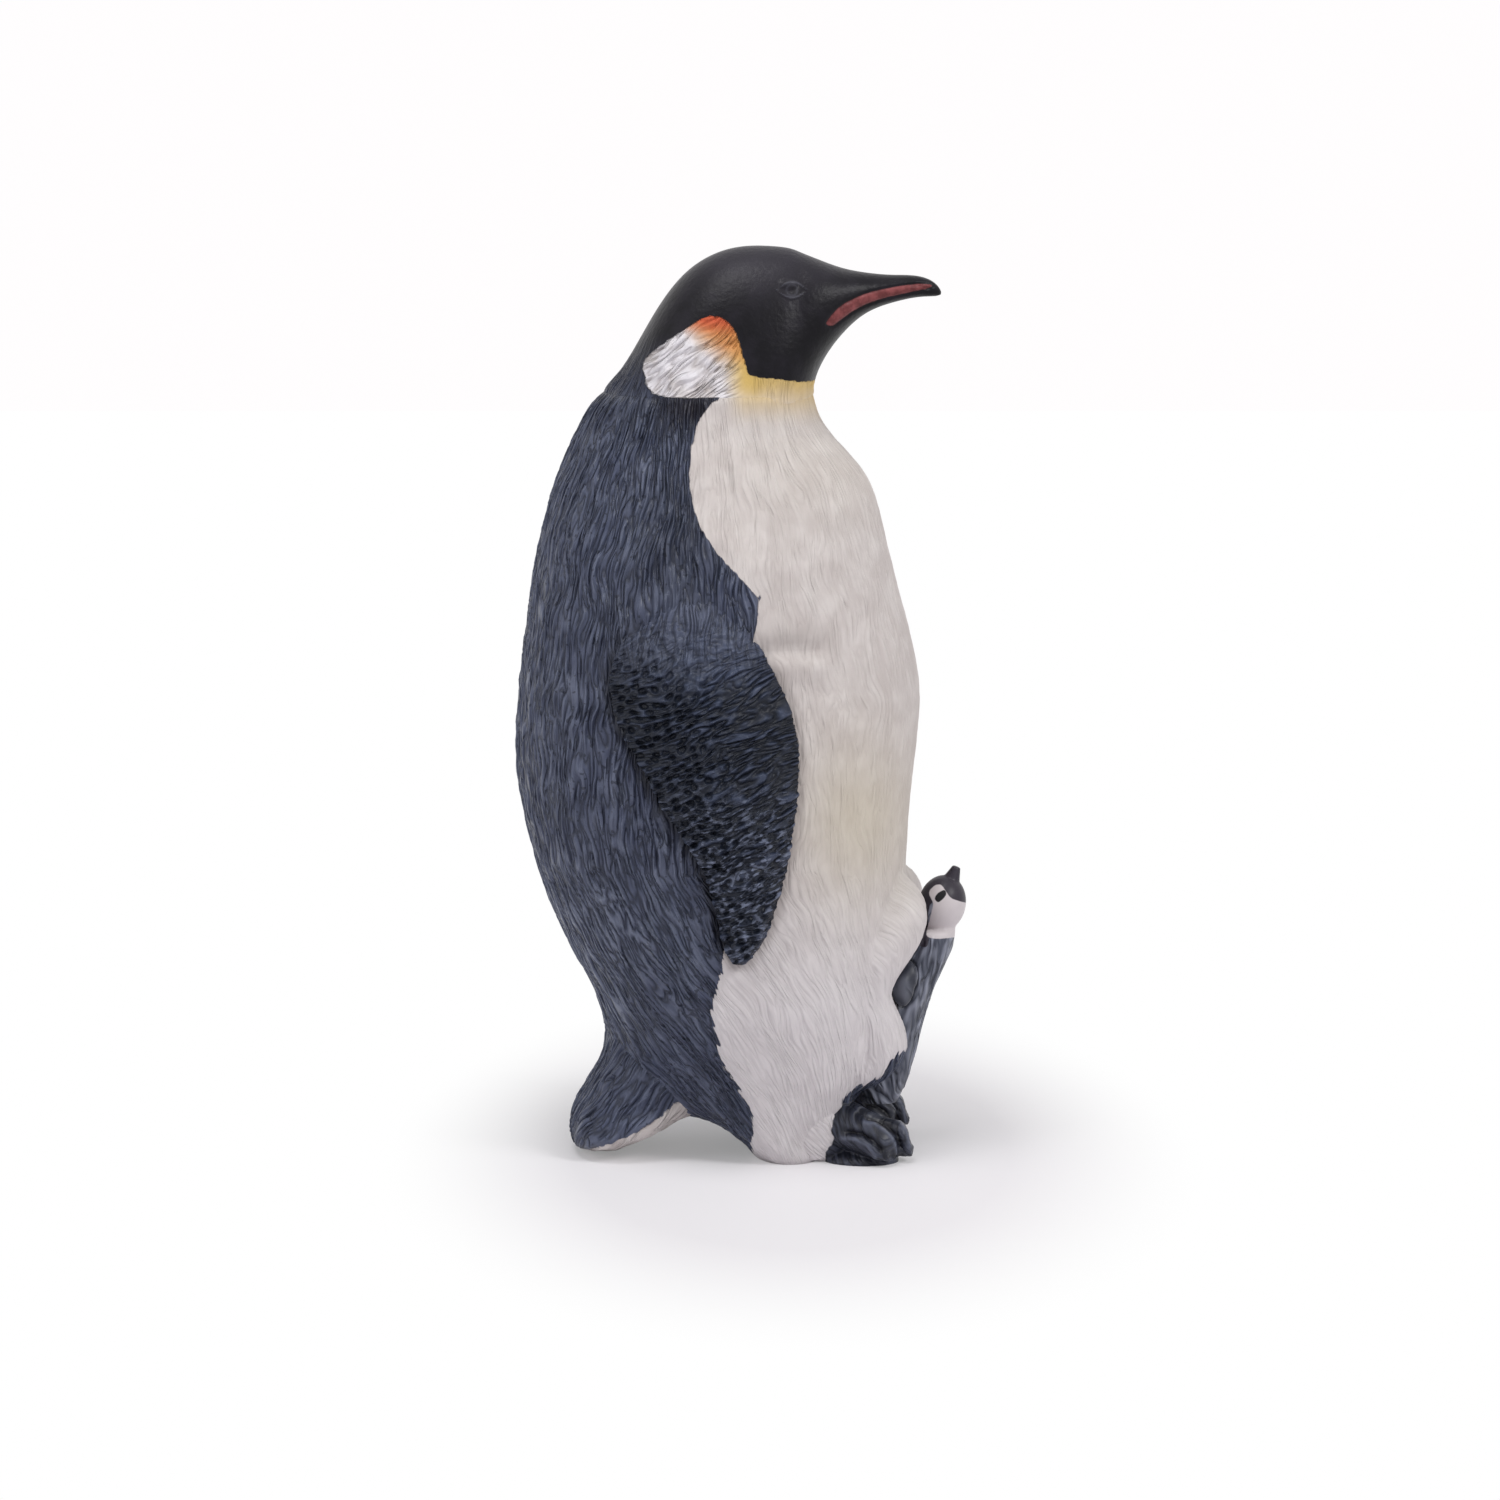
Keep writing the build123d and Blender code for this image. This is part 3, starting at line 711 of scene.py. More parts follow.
def head_paint():
    """Black cap, ear patch, beak stripe and eyelids."""
    made, wire, shader = material("head paint")
    place = object_mm(wire)
    strand, groove = feathered(wire, HEAD_SEED)
    ragged = uneven(wire, place, 0.6)
    patch = border(wire, "patch", ragged * 0.45, PATCH_EDGE)
    pale = grain(wire, place, 2.0).ease(0.2, 0.6).over(white_paint(wire, place, strand, groove), SNOW)
    lines = (groove * 0.6).upper(strand.ease(0.3, 0.0) * 0.35)
    pale = (lines * kept(wire, "strokes")).over(pale, WHITE_DEEP)
    pale = layered(wire, pale, EAR_LAYERS)
    dusk = kept(wire, "dusk")
    cap = grain(wire, place, 2.5, 4.0).ease(0.4, 0.75).over(BLACK, BLACK_DRY)
    # Painted highlight: pale grey on top of the head, where the light falls
    cap = kept(wire, "crown").over(cap, CROWN_HIGHLIGHT_GREY)
    colour = patch.over(dusk.over(slate_paint(wire, place, strand, groove), cap), pale)
    stripe = border(wire, "stripe", ragged * 0.12, STRIPE_EDGE)
    colour = stripe.over(colour, grain(wire, place, 0.8).ease(0.3, 0.7).over(STRIPE_DEEP, STRIPE_RED))
    colour = (kept(wire, "lid") * 0.6).over(colour, LID_GREY)
    roughness = 0.32 + patch * 0.2 + grain(wire, place, 0.7, 3.0) * 0.12
    relief = (strand - groove * 0.5) * patch.upper(1 - dusk) * kept(wire, "strokes")
    relief = relief + grain(wire, place, 0.5, 2.0) * 0.2
    coat(shader, wire, colour, roughness, relief, HEAD_BUMP, HEAD_SHINE)
    return made


head_finish = head_paint()
print("head paint:", len(head_finish.node_tree.nodes), "nodes")

# %% [markdown]
# The flippers' paint: blue-black with paler hatch strokes, dark dimples along the rear edge and worn
# flakes near the tip. Towards the shoulder it gives way to the torso's slate, with strands from the
# torso's own flow, so that the pattern runs on over the joint.

# %% Flipper paint
HATCH_DEEP, HATCH, PIT = tint("1f2431"), tint("434b60"), tint("10131b")
SHEEN_BLUE, FLAKE = tint("5a6580"), tint("757d93")
FLAKE_GRAIN = (0.38, 0.38, 0.9)


def flipper_paint():
    """Hatch strokes, dimples and flakes, with the torso's slate at the shoulder."""
    made, wire, shader = material("flipper paint")
    place, flow = object_mm(wire), waver(wire, kept(wire, "flow", "Vector"), FLIPPER_SEED)
    pitted, low, merge = kept(wire, "pitted"), kept(wire, "low"), kept(wire, "merge")
    pits = dimples(wire, flow, FLIPPER_SEED) * pitted
    strand = strands(wire, flow, FLIPPER_SEED, HATCH_WIDTH, HATCH_LENGTH)
    gaps = strand.ease(0.45, 0.05) * (1 - pitted * 0.4)
    flakes = (grain(wire, flow, FLAKE_GRAIN, 2.0) + low * 0.05).ease(0.54, 0.63) * low
    colour = (strand.ease(0.3, 1.0) * 0.7).over(HATCH_DEEP, HATCH)
    # Painted sheen: a paler blue spot on the flipper's upper middle, where the light falls
    colour = (kept(wire, "sheen") * 0.35).over(colour, SHEEN_BLUE)
    colour = (flakes * 0.8).over(colour, FLAKE)
    colour = (gaps.upper(pits) * 0.75).over(colour, PIT)
    plain, groove = feathered(wire, TORSO_SEED, flow_name="body flow")
    colour = merge.over(colour, slate_paint(wire, place, plain, groove))
    relief = (strand + flakes * 0.5 - pits * 0.9) * (1 - merge) + (plain - groove * 0.35) * merge
    coat(shader, wire, colour, 0.44 - merge * 0.1, relief, FEATHER_BUMP, BODY_SHINE)
    return made


flipper_finish = flipper_paint()
print("flipper paint:", len(flipper_finish.node_tree.nodes), "nodes")

# %% [markdown]
# The small mouldings' paint: the tail is slate with a pale underside, the feet are charcoal under a
# skirt of white feathers, and the chick is grey down with a dark cap and a white face. The tail finds
# its underside from the way its surface faces, and the others find their borders from outlines.

# %% Tail, foot and chick paint
CHARCOAL, CHARCOAL_DRY, TOE_HIGHLIGHT = tint("1f212a"), tint("4b4f5e"), tint("777d90")
DOWN_DEEP, DOWN, DOWN_CARVED = tint("4a4e5b"), tint("8b8f9e"), tint("17181f")
CAP_DARK, FACE_WHITE = tint("332f38"), tint("cfc8ca")
UNDER_EDGE, CHICK_EDGE, EYE_EDGE = (0.38, 0.46), (-0.05, 0.05), (-0.04, 0.04)
FOOT_STROKE, DOWN_STROKE = (0.8, 4.0), (1.4, 3.5)


def tail_paint():
    """Slate above and white below."""
    made, wire, shader = material("tail paint")
    place = object_mm(wire)
    strand, groove = feathered(wire, TAIL_SEED)
    under = border(wire, "under", uneven(wire, place, 0.7) * 0.5, UNDER_EDGE)
    colour = under.over(slate_paint(wire, place, strand, groove), white_paint(wire, place, strand, groove))
    coat(shader, wire, colour, 0.42 + under * 0.15, strand - groove * 0.4, FEATHER_BUMP, BODY_SHINE)
    return made


def foot_paint():
    """Charcoal toes with painted highlights along the ridges and painted shade in the furrows, and the
    white skirt over the heel.
    """
    made, wire, shader = material("foot paint")
    place = object_mm(wire)
    strand, groove = feathered(wire, FOOT_SEED, *FOOT_STROKE)
    ragged = uneven(wire, place, 0.7)
    dark = (strand.ease(0.0, 0.8) * 0.6).over(CHARCOAL, CHARCOAL_DRY)
    # Painted shade in the furrows and a painted highlight along the ridges
    dark = layered(wire, dark, (("furrow", BLACK), ("ridge", TOE_HIGHLIGHT)))
    skirt = border(wire, "skirt", ragged * 0.5)
    pale = (0.5 + ragged * 0.3).over(white_paint(wire, place, strand, groove, 2.0), SNOW)
    relief = strand - groove * 0.4
    coat(shader, wire, skirt.over(dark, pale), 0.36 + skirt * 0.2, relief, FOOT_BUMP, SMALL_SHINE)
    return made


def chick_paint():
    """Grey down, dark cap, white face and black eye."""
    made, wire, shader = material("chick paint")
    place = object_mm(wire)
    strand, groove = feathered(wire, CHICK_SEED, *DOWN_STROKE)
    ragged = uneven(wire, place, 0.5, 2.0)
    body = strand.ease(0.0, 0.8).over(DOWN_DEEP, DOWN)
    body = (groove * 0.5).over(body, SLATE_DEEP)
    body = kept(wire, "carved").over(body, DOWN_CARVED)
    cap = border(wire, "cap", ragged * 0.15, CHICK_EDGE).over(body, CAP_DARK)
    face = border(wire, "face", ragged * 0.12, CHICK_EDGE).over(cap, FACE_WHITE)
    colour = border(wire, "eye", ragged * 0.1, EYE_EDGE).over(face, BLACK)
    relief = (strand - groove * 0.5) * kept(wire, "relief")
    coat(shader, wire, colour, 0.40, relief, CHICK_BUMP, SMALL_SHINE)
    return made


tail_finish, foot_finish, chick_finish = tail_paint(), foot_paint(), chick_paint()
for finish in (tail_finish, foot_finish, chick_finish):
    print(finish.name + ":", len(finish.node_tree.nodes), "nodes")

# %% [markdown]
# Now each skin is made, given its flow and its painted borders, sculpted and finished. The masks for
# this are soft steps, bells and round spots, placed by photograph pixels that are listed, or by heights
# in millimetres.

# %% Soft masks and finished pieces
SIDES = ("right", "left")
FLAT_NORMAL = 0.9999
THROAT_STRENGTH, THROAT_ROWS, THROAT_COLUMNS = 0.9, (430, 378), (722, 748)
DUSK_ROWS = (450, 325)


def climb(values, low, high):
    """0 below low, 1 above high and a soft step between, or the other way round."""
    share = np.clip((values - low) / (high - low), 0, 1)
    return share * share * (3 - 2 * share)


def bell(values, middle, width):
    """1 at the middle, falling off softly on both sides."""
    return np.exp(-((values - middle) / width) ** 2)


def blush(points, middle, size):
    """A soft round spot in the photograph, 1 at its middle."""
    offset = (seen(points) - middle) / size
    return np.exp(-(offset ** 2).sum(1))


def throat_of(points):
    """Yellow under the chin that fades down the breast."""
    column, row = seen(points).T
    return THROAT_STRENGTH * climb(row, *THROAT_ROWS) * climb(column, *THROAT_COLUMNS)


def dusk_of(points):
    """Black of the cap that fades into the slate of the back."""
    return climb(seen(points)[:, 1], *DUSK_ROWS)


def finished(mesh, node):
    """A sculpted mesh as the finished piece that stands for a solid. Flat bases stay flat-shaded."""
    mesh.transform(Matrix.Scale(MM, 4))
    mesh.polygons.foreach_set("use_smooth", [abs(p.normal.z) < FLAT_NORMAL for p in mesh.polygons])
    piece = bpy.data.objects.new(node + "_skin", mesh)
    collection.objects.link(piece)
    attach(piece, "root")
    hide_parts(node)
    print(piece.name, "has", sum(len(p.vertices) - 2 for p in mesh.polygons), "triangles")
    return piece


# %% [markdown]
# On the real bird no step shows at the neck, but the two solids meet at an angle there. So the head's
# rim is moved to the torso's rim, and then both skins are filled until the side runs on without a
# kink. How much is needed is measured all the way round, from the lean of both solids.

# %% Neck seam
NECK_TURNS = np.linspace(-math.pi, math.pi, 361)
NECK_BLUR = 21
NECK_STEP, NECK_LAP = 1.5, 0.05
STEP_REACH, HEAD_REACH, TORSO_FADE = 5.0, 2.5, 6.0
NECK_FILL = 0.25 + 0.45 * np.sin(NECK_TURNS) ** 2


def girth(node, height):
    """How far a solid's side stands from the neck's axis at a height, all the way round."""
    solid = surface(node)
    middle = Vector((AXIS_PLACES[-1], 0, height))
    ways = [Vector((math.cos(turn), math.sin(turn), 0)) for turn in NECK_TURNS]
    hits = [solid.ray_cast(middle + way * TORSO_REACH, -way)[0] for way in ways]
    return np.array([(hit - middle).length for hit in hits])


def rounded_neck(points, offset, reach):
    """Points moved out from the neck's axis by an offset for each turn, fading off from the seam."""
    turn = np.arctan2(points[:, 1], points[:, 0] - AXIS_PLACES[-1])
    share = np.clip(1 - abs(points[:, 2] - TORSO_HEIGHT) / reach, 0, 1) ** 2
    push = np.interp(turn, NECK_TURNS, offset) * share
    return points + np.stack([push * np.cos(turn), push * np.sin(turn), 0 * push], 1)


torso_rim = girth("torso", TORSO_HEIGHT - SEAM_INSET)
head_rim = girth("head", TORSO_HEIGHT + SEAM_INSET)
lean = girth("torso", TORSO_HEIGHT - NECK_STEP) - torso_rim - head_rim
lean = lean + girth("head", TORSO_HEIGHT + NECK_STEP)
blur = np.ones(NECK_BLUR) / NECK_BLUR
lean = np.convolve(np.tile(lean, 3), blur, "same")[len(lean):2 * len(lean)] / NECK_STEP
neck_fill = np.clip(lean / (2 / HEAD_REACH + 2 / TORSO_FADE), -NECK_FILL, NECK_FILL)
print("neck filled by", round(neck_fill.min(), 2), "to", round(neck_fill.max(), 2), "mm")

# %% [markdown]
# The torso is the largest moulding. The border of its white front is one outline in the photograph.
# Low down the white stands proud of the slate, and higher up the slate stands proud of the white, as
# the sculptor cut it. A crease crosses the breast beside the shoulder, and the skin swells where it
# meets the tail, the feet and the shoulders. Painted shade darkens a band along each flipper's edge.

# %% Torso
FRONT_OUTLINE = (
    (722, 396), (703, 415), (693, 440), (690, 480), (696, 515), (712, 548), (735, 575), (757, 599),
    (757, 601), (748, 700), (735, 850), (724, 965), (715, 1000), (713, 1020), (720, 1055), (735, 1080),
    (748, 1105), (754, 1130), (758, 1170), (834, 1172), (838, 1110), (850, 1092), (880, 1077), (905, 1052),
    (1000, 1040), (1100, 700), (1000, 380), (860, 360), (760, 370),
)
TORSO_SPOTS = (
    ("shaded", 0.5, (792, 638), (38, 14)),
    ("wedge", 0.8, (690, 408), (34, 20)),
    # Painted shade: the slate of the upper flank, near the white border, is painted darker
    ("gloom", 0.45, (680, 545), (40, 80)),
    # Painted highlight on the low back
    ("bloom", 0.85, (608, 940), (60, 85)),
)
TORSO_CUT, TORSO_LUMP, FRONT_RELIEF = 0.20, 0.30, 0.35
CREASE_HEIGHT, CREASE_LEFT, CREASE_RIGHT = 0.40, (748, 765), (840, 815)
CREASE_CROWN, CREASE_VALLEY = (668, 12), (651, 7)
LEDGE_HEIGHT, LEDGE_TURN, LEDGE_WIDTH, SLATE_LEDGE = 0.16, 0.3, 1.4, 0.6
TAIL_FILLET, FOOT_FILLET, SHOULDER_FILLET = 5.0, 2.5, 4.5
SHOULDER_HEIGHTS, SHOULDER_TOP = (49, 55), 66
CREVICE_SHADE_STRENGTH, CREVICE_SHADE_REACH, CREVICE_SHADE_EDGE = 0.75, 1.3, (0.15, 0.9)

torso = torso_rings()
points = rounded_neck(places(torso), neck_fill, TORSO_FADE)
settle(torso, points)
ahead, sideways, height = points.T
column, row = seen(points).T
front = inside(points, FRONT_OUTLINE)
note(torso, "front", front)
note(torso, "tufts", 0.6 + 1.6 * climb(height, 32, 24))
note(torso, "cool", 0.5 * climb(height, 36, 14))
note(torso, "cream", 0.5 * blush(points, (860, 820), (60, 80)) + 0.1 * blush(points, (830, 470), (90, 60)))
note(torso, "throat", throat_of(points))
note(torso, "dusk", dusk_of(points))
for name, strength, middle, size in TORSO_SPOTS:
    note(torso, name, strength * blush(points, middle, size))
ends = climb(height, TORSO_HEIGHT, TORSO_HEIGHT - 1) * climb(height, 0.0, 0.5)
note(torso, "relief", ends * np.where(front > 0, FRONT_RELIEF, 1.0))

# %% Torso's swelling and crevices
crease = climb(column, *CREASE_LEFT) * climb(column, *CREASE_RIGHT)
swell = CREASE_HEIGHT * crease * (bell(row, *CREASE_CROWN) - bell(row, *CREASE_VALLEY))
ledge = np.tanh(front / LEDGE_TURN) * bell(front, 0, LEDGE_WIDTH)
proud = climb(height, 40, 30) - SLATE_LEDGE * climb(height, 40, 50)
swell += LEDGE_HEIGHT * ledge * proud * climb(height, 74, 71)
swell += fillet(points, surface("tail"), TAIL_FILLET, (height < 20) & (ahead < -3))
for side in SIDES:
    swell += fillet(points, surface("foot_" + side), FOOT_FILLET, (height < 8) & (ahead > 0))
shoulder = climb(height, *SHOULDER_HEIGHTS)
above = (height > SHOULDER_HEIGHTS[0]) & (height < SHOULDER_TOP)
beside = (height > 18) & (height < 60) & (abs(sideways) > 6)
# Painted shade: slate and white are painted darker along each flipper's edge, below the shoulder
crevice = np.zeros(len(points))
for side in SIDES:
    blade = surface("flipper_" + side)
    swell += shoulder * fillet(points, blade, SHOULDER_FILLET, above)
    dark = climb(nearness(points, blade, CREVICE_SHADE_REACH, beside), *CREVICE_SHADE_EDGE)
    crevice = np.maximum(crevice, dark * (1 - shoulder))
note(torso, "crevice", CREVICE_SHADE_STRENGTH * crevice)
note(torso, "swell", swell * climb(height, 0.0, 0.6))
torso = sculpt(torso, feathers, torso_finish, TORSO_CUT, TORSO_LUMP, TORSO_SEED)
finished(torso, "torso")

# %% [markdown]
# The head is smooth but for its ear patch and its nape. Its neck is drawn a little into the torso, so
# that no gap shows at the seam. The eye is an almond drawn in photograph pixels with a raised rim and
# a pale lid line, and the stripe's edge is cut in as a thin groove.

# %% Head
PATCH_OUTLINE = (
    (645, 378), (643, 365), (652, 352), (690, 326), (703, 318), (716, 316), (728, 322), (736, 333),
    (742, 352), (747, 370), (752, 376), (775, 379), (806, 382), (830, 378), (845, 415), (735, 415),
    (722, 399), (690, 399), (660, 396), (648, 388),
)
STRIPE_OUTLINE = (
    (827, 323), (836, 311), (848, 302), (868, 293), (893, 287), (915, 284), (931, 284), (929, 288),
    (905, 294), (880, 300), (858, 309), (842, 320), (833, 326),
)
SEAM_DROP, RIM_HEIGHT, NECK_PEG_REACH = 0.8, 0.05, 4.6
PATCH_SLANT = math.radians(38)
PATCH_END = 745
HEAD_VOXEL, HEAD_PASSES, HEAD_CUT, HEAD_LUMP = 0.15, 3, 0.22, 0.12


def below_seam(points):
    """The head's solid with its neck drawn down into the torso, so that no gap shows at the seam."""
    axis = np.array((np.interp(TORSO_HEIGHT, AXIS_HEIGHTS, AXIS_PLACES), 0))
    rim = abs(points[:, 2] - TORSO_HEIGHT) < RIM_HEIGHT
    rim &= np.linalg.norm(points[:, :2] - axis, axis=1) > NECK_PEG_REACH
    points[rim, 2] -= SEAM_DROP
    return points


head = voxel_skin("head", HEAD_VOXEL, HEAD_PASSES, below_seam)
points = rounded_neck(places(head), torso_rim - head_rim + NECK_LAP, STEP_REACH)
points = rounded_neck(points, neck_fill, HEAD_REACH)
settle(head, points)
ahead, sideways, height = points.T
column, row = seen(points).T
patch = inside(points, PATCH_OUTLINE)
stripe = inside(points, STRIPE_OUTLINE)
turn = np.arctan2(sideways, ahead - AXIS_PLACES[-1])
across = height * math.cos(PATCH_SLANT) - ahead * math.sin(PATCH_SLANT)
along = height * math.sin(PATCH_SLANT) + ahead * math.cos(PATCH_SLANT)
white = (patch > 0) & (column < PATCH_END)
note(head, "flow", wrapped(np.where(white, across, FLOW_RADIUS * turn), np.where(white, along, height)))
note(head, "patch", patch)
note(head, "stripe", stripe)
# Painted highlight: a pale grey spot on top of the head
note(head, "crown", 0.45 * blush(points, (755, 262), (80, 30)))
note(head, "throat", throat_of(points))
dusk = np.maximum(dusk_of(points), climb(column, 705, 745))
note(head, "dusk", dusk)

# %% Ear patch and eye
PATCH_EDGE_ROWS = (316, 322, 333, 352, 370, 400)
PATCH_EDGE_COLUMNS = (716, 728, 736, 742, 747, 752)
EYE_MIDDLE, EYE_SIZE, IRIS_SIZE = (792, 290), (15, 7.5), 5.5
LID_LINE, LID_RIM = (1.0, 0.16), (1.05, 0.22)
RIM_SWELL, STRIPE_CUT, STRIPE_CUT_WIDTH, FACE_END = 0.10, 0.12, 0.12, 335

# Warm colour follows the patch's upper right edge: red at its top, then orange, then yellow
edge = np.interp(row, PATCH_EDGE_ROWS, PATCH_EDGE_COLUMNS) - column
warm = climb(edge + 0.7 * np.clip(row - 330, 0, 40), 62, 20)
note(head, "glow", 0.75 * warm * climb(row, 405, 380) * climb(column, 775, 745))
note(head, "blaze", 0.75 * warm * climb(row, 378, 342))
note(head, "ember", 0.85 * warm * climb(row, 340, 318))
across, above = ((seen(points) - EYE_MIDDLE) / EYE_SIZE).T
almond = abs(above) / np.clip(1 - across ** 2, 0.04, 1) + np.clip(abs(across) - 1, 0, None) * 8
iris = np.hypot(across * EYE_SIZE[0], above * EYE_SIZE[1]) / IRIS_SIZE
note(head, "lid", bell(almond, *LID_LINE) + 0.6 * bell(iris, *LID_LINE) * (almond < 1))
swell = RIM_SWELL * bell(almond, *LID_RIM) - STRIPE_CUT * bell(stripe, 0, STRIPE_CUT_WIDTH)
note(head, "swell", swell * (row < FACE_END))
seam = climb(height, TORSO_HEIGHT, TORSO_HEIGHT + 1)
calm = climb(abs(column - PATCH_END), 0, 12) * np.where(column > PATCH_END, 0.35, 1)
note(head, "strokes", np.where(patch > 0, calm, 1))
note(head, "relief", np.maximum(climb(patch, 0, 0.3) * seam * calm, (1 - dusk) * seam))
head = sculpt(head, feathers, head_finish, HEAD_CUT, HEAD_LUMP, HEAD_SEED)
finished(head, "head")

# %% [markdown]
# The flippers lie flat on the flanks. Their strokes run aslant from the rear edge to the front, with
# dimples behind and at the tip. At the shoulder the relief fades, the blade sinks a little, and the
# torso's flow takes over the paint, so that the flipper grows out of the body.

# %% Flippers
FLIPPER_SLANT = math.radians(24)
FLIPPER_MERGE = (46.5, 56.5)
FLIPPER_SINK = 0.5
FLIPPER_SHIFT = 40
FLIPPER_VOXEL, FLIPPER_PASSES, FLIPPER_CUT, FLIPPER_LUMP = 0.16, 2, 0.24, 0.25

for side in SIDES:
    flipper = voxel_skin("flipper_" + side, FLIPPER_VOXEL, FLIPPER_PASSES)
    points = places(flipper)
    merge = climb(points[:, 2], *FLIPPER_MERGE)
    points[:, 1] -= np.sign(points[:, 1]) * FLIPPER_SINK * merge
    settle(flipper, points)
    ahead, sideways, height = points.T
    along = ahead * math.cos(FLIPPER_SLANT) + height * math.sin(FLIPPER_SLANT)
    across = height * math.cos(FLIPPER_SLANT) - ahead * math.sin(FLIPPER_SLANT)
    note(flipper, "flow", wrapped(across - FLIPPER_SHIFT, along))
    turn = np.arctan2(sideways, ahead - np.interp(height, AXIS_HEIGHTS, AXIS_PLACES))
    note(flipper, "body flow", wrapped(FLOW_RADIUS * turn, height))
    note(flipper, "relief", 1 - merge)
    note(flipper, "merge", merge)
    column, row = seen(points).T
    trailing = climb(column - 0.28 * row, 540, 470)
    note(flipper, "pitted", np.maximum(trailing, 0.8 * climb(row, 850, 900)))
    note(flipper, "low", climb(row, 740, 870))
    # Painted sheen on the flipper's upper middle
    note(flipper, "sheen", blush(points, (715, 650), (40, 45)))
    flipper = sculpt(flipper, flipper_strokes, flipper_finish, FLIPPER_CUT, FLIPPER_LUMP, FLIPPER_SEED)
    finished(flipper, "flipper_" + side)

# %% [markdown]
# The tail falls away behind as a short wedge that props the bird up. Its strokes run down its slope,
# so its flow is wrapped round a line at that slope. Where it meets the back the skin swells into it.

# %% Tail
TAIL_FALL = math.radians(50)
TAIL_RADIUS = 6.0
TAIL_UNDERSIDE = np.array((0.75, 0, -0.66))
TAIL_VOXEL, TAIL_PASSES, TAIL_CUT, TAIL_LUMP = 0.17, 2, 0.18, 0.2
BACK_FILLET = 4.0

tail = voxel_skin("tail", TAIL_VOXEL, TAIL_PASSES)
points = places(tail)
ahead, sideways, height = points.T
along = -ahead * math.cos(TAIL_FALL) - height * math.sin(TAIL_FALL)
across = ahead * math.sin(TAIL_FALL) - height * math.cos(TAIL_FALL)
note(tail, "flow", wrapped(TAIL_RADIUS * np.arctan2(sideways, across.mean() - across), along))
note(tail, "under", rows(tail, "normal") @ TAIL_UNDERSIDE)
note(tail, "relief", climb(height, 0.1, 0.6))
note(tail, "swell", fillet(points, surface("torso"), BACK_FILLET, height > 2) * climb(height, 2, 5))
tail = sculpt(tail, feathers, tail_finish, TAIL_CUT, TAIL_LUMP, TAIL_SEED)
finished(tail, "tail")

# %% [markdown]
# The feet show wrinkled toes in front of the white skirt. A toe's fold is a raised line with a furrow
# beside it. Both follow a short path of photograph pixels, because noise alone doesn't look like
# toes. The skirt's hem is an outline, as the torso's border is.

# %% Feet
SKIRT_OUTLINE = (
    (780, 1180), (821, 1166), (826, 1152), (833, 1141), (832, 1129), (835, 1117), (842, 1101), (858, 1088),
    (869, 1078), (885, 1069), (880, 1040), (780, 1040),
)
TOE_LINES = (
    ((864, 1123), (874, 1125), (883, 1131), (892, 1140), (896, 1152)),
    ((878, 1106), (888, 1111), (899, 1122), (906, 1134), (909, 1147)),
    ((843, 1138), (856, 1139), (868, 1146), (876, 1156)),
)
FURROW_OFFSET = (5, -6)
FURROW_WIDTH, FURROW_DEPTH, RIDGE_HIGHLIGHT_WIDTH, RIDGE_WIDTH, RIDGE_HEIGHT = 0.3, 0.45, 0.16, 0.4, 0.22
FOOT_SPREAD = 0.6
FOOT_VOXEL, FOOT_PASSES, FOOT_CUT, FOOT_LUMP = 0.1, 2, 0.08, 0.15

for side in SIDES:
    foot = voxel_skin("foot_" + side, FOOT_VOXEL, FOOT_PASSES)
    points = places(foot)
    ahead, sideways, height = points.T
    note(foot, "flow", wrapped(FOOT_SPREAD * abs(sideways) + ahead + height, ahead - height))
    note(foot, "skirt", inside(points, SKIRT_OUTLINE))
    ridge = np.min([off_path(points, path) for path in TOE_LINES], axis=0)
    furrow = np.min([off_path(points, np.array(path) + FURROW_OFFSET) for path in TOE_LINES], axis=0)
    # Painted shade: black in each furrow. Painted highlight: a pale line along each ridge
    note(foot, "furrow", 0.8 * bell(furrow, 0, FURROW_WIDTH))
    note(foot, "ridge", 0.45 * bell(ridge, 0, RIDGE_HIGHLIGHT_WIDTH))
    swell = RIDGE_HEIGHT * bell(ridge, 0, RIDGE_WIDTH) - FURROW_DEPTH * bell(furrow, 0, FURROW_WIDTH)
    swell += fillet(points, surface("torso"), FOOT_FILLET, height > 0.3)
    note(foot, "swell", swell * climb(height, 0.1, 0.6))
    note(foot, "relief", climb(height, 0.1, 0.5))
    foot = sculpt(foot, feathers, foot_finish, FOOT_CUT, FOOT_LUMP, FOOT_SEED)
    finished(foot, "foot_" + side)

# %% [markdown]
# The chick looks out of the pouch. Its neck is relaxed, so that the head runs into the body, and its
# small flipper is raised inside an outline with a carved line around it. The down is broad, shallow
# lumps, and the face stays nearly smooth.

# %% Chick
CHICK_CAP = (
    (905, 912), (913, 880), (945, 856), (975, 858), (980, 905), (955, 901), (930, 905), (928, 945),
    (912, 938),
)
CHICK_FACE = (
    (929, 893), (934, 886), (941, 885), (947, 893), (953, 899), (972, 906), (972, 920), (962, 930),
    (956, 937), (928, 937), (930, 918), (933, 904),
)
CHICK_EYE = ((935, 899), (937, 894), (944, 890), (946, 895), (939, 902))
CHICK_FLIPPER = (
    (911, 960), (917, 972), (915, 990), (908, 1005), (899, 1007), (892, 998), (892, 985), (901, 968),
)
CHICK_RADIUS = 4.0
CHICK_NECK, NECK_PASSES, CHICK_BODY = (931, 6), 60, (935, 945)
SPINE_HEIGHTS, SPINE_PLACES = (9, 22), (11.0, 13.1)
LEAF_HEIGHT, LEAF_CUT, LEAF_LINE = 0.30, 0.20, 0.15
CHICK_VOXEL, CHICK_PASSES, CHICK_CUT, CHICK_LUMP, FACE_RELIEF = 0.11, 2, 0.07, 0.60, 0.03

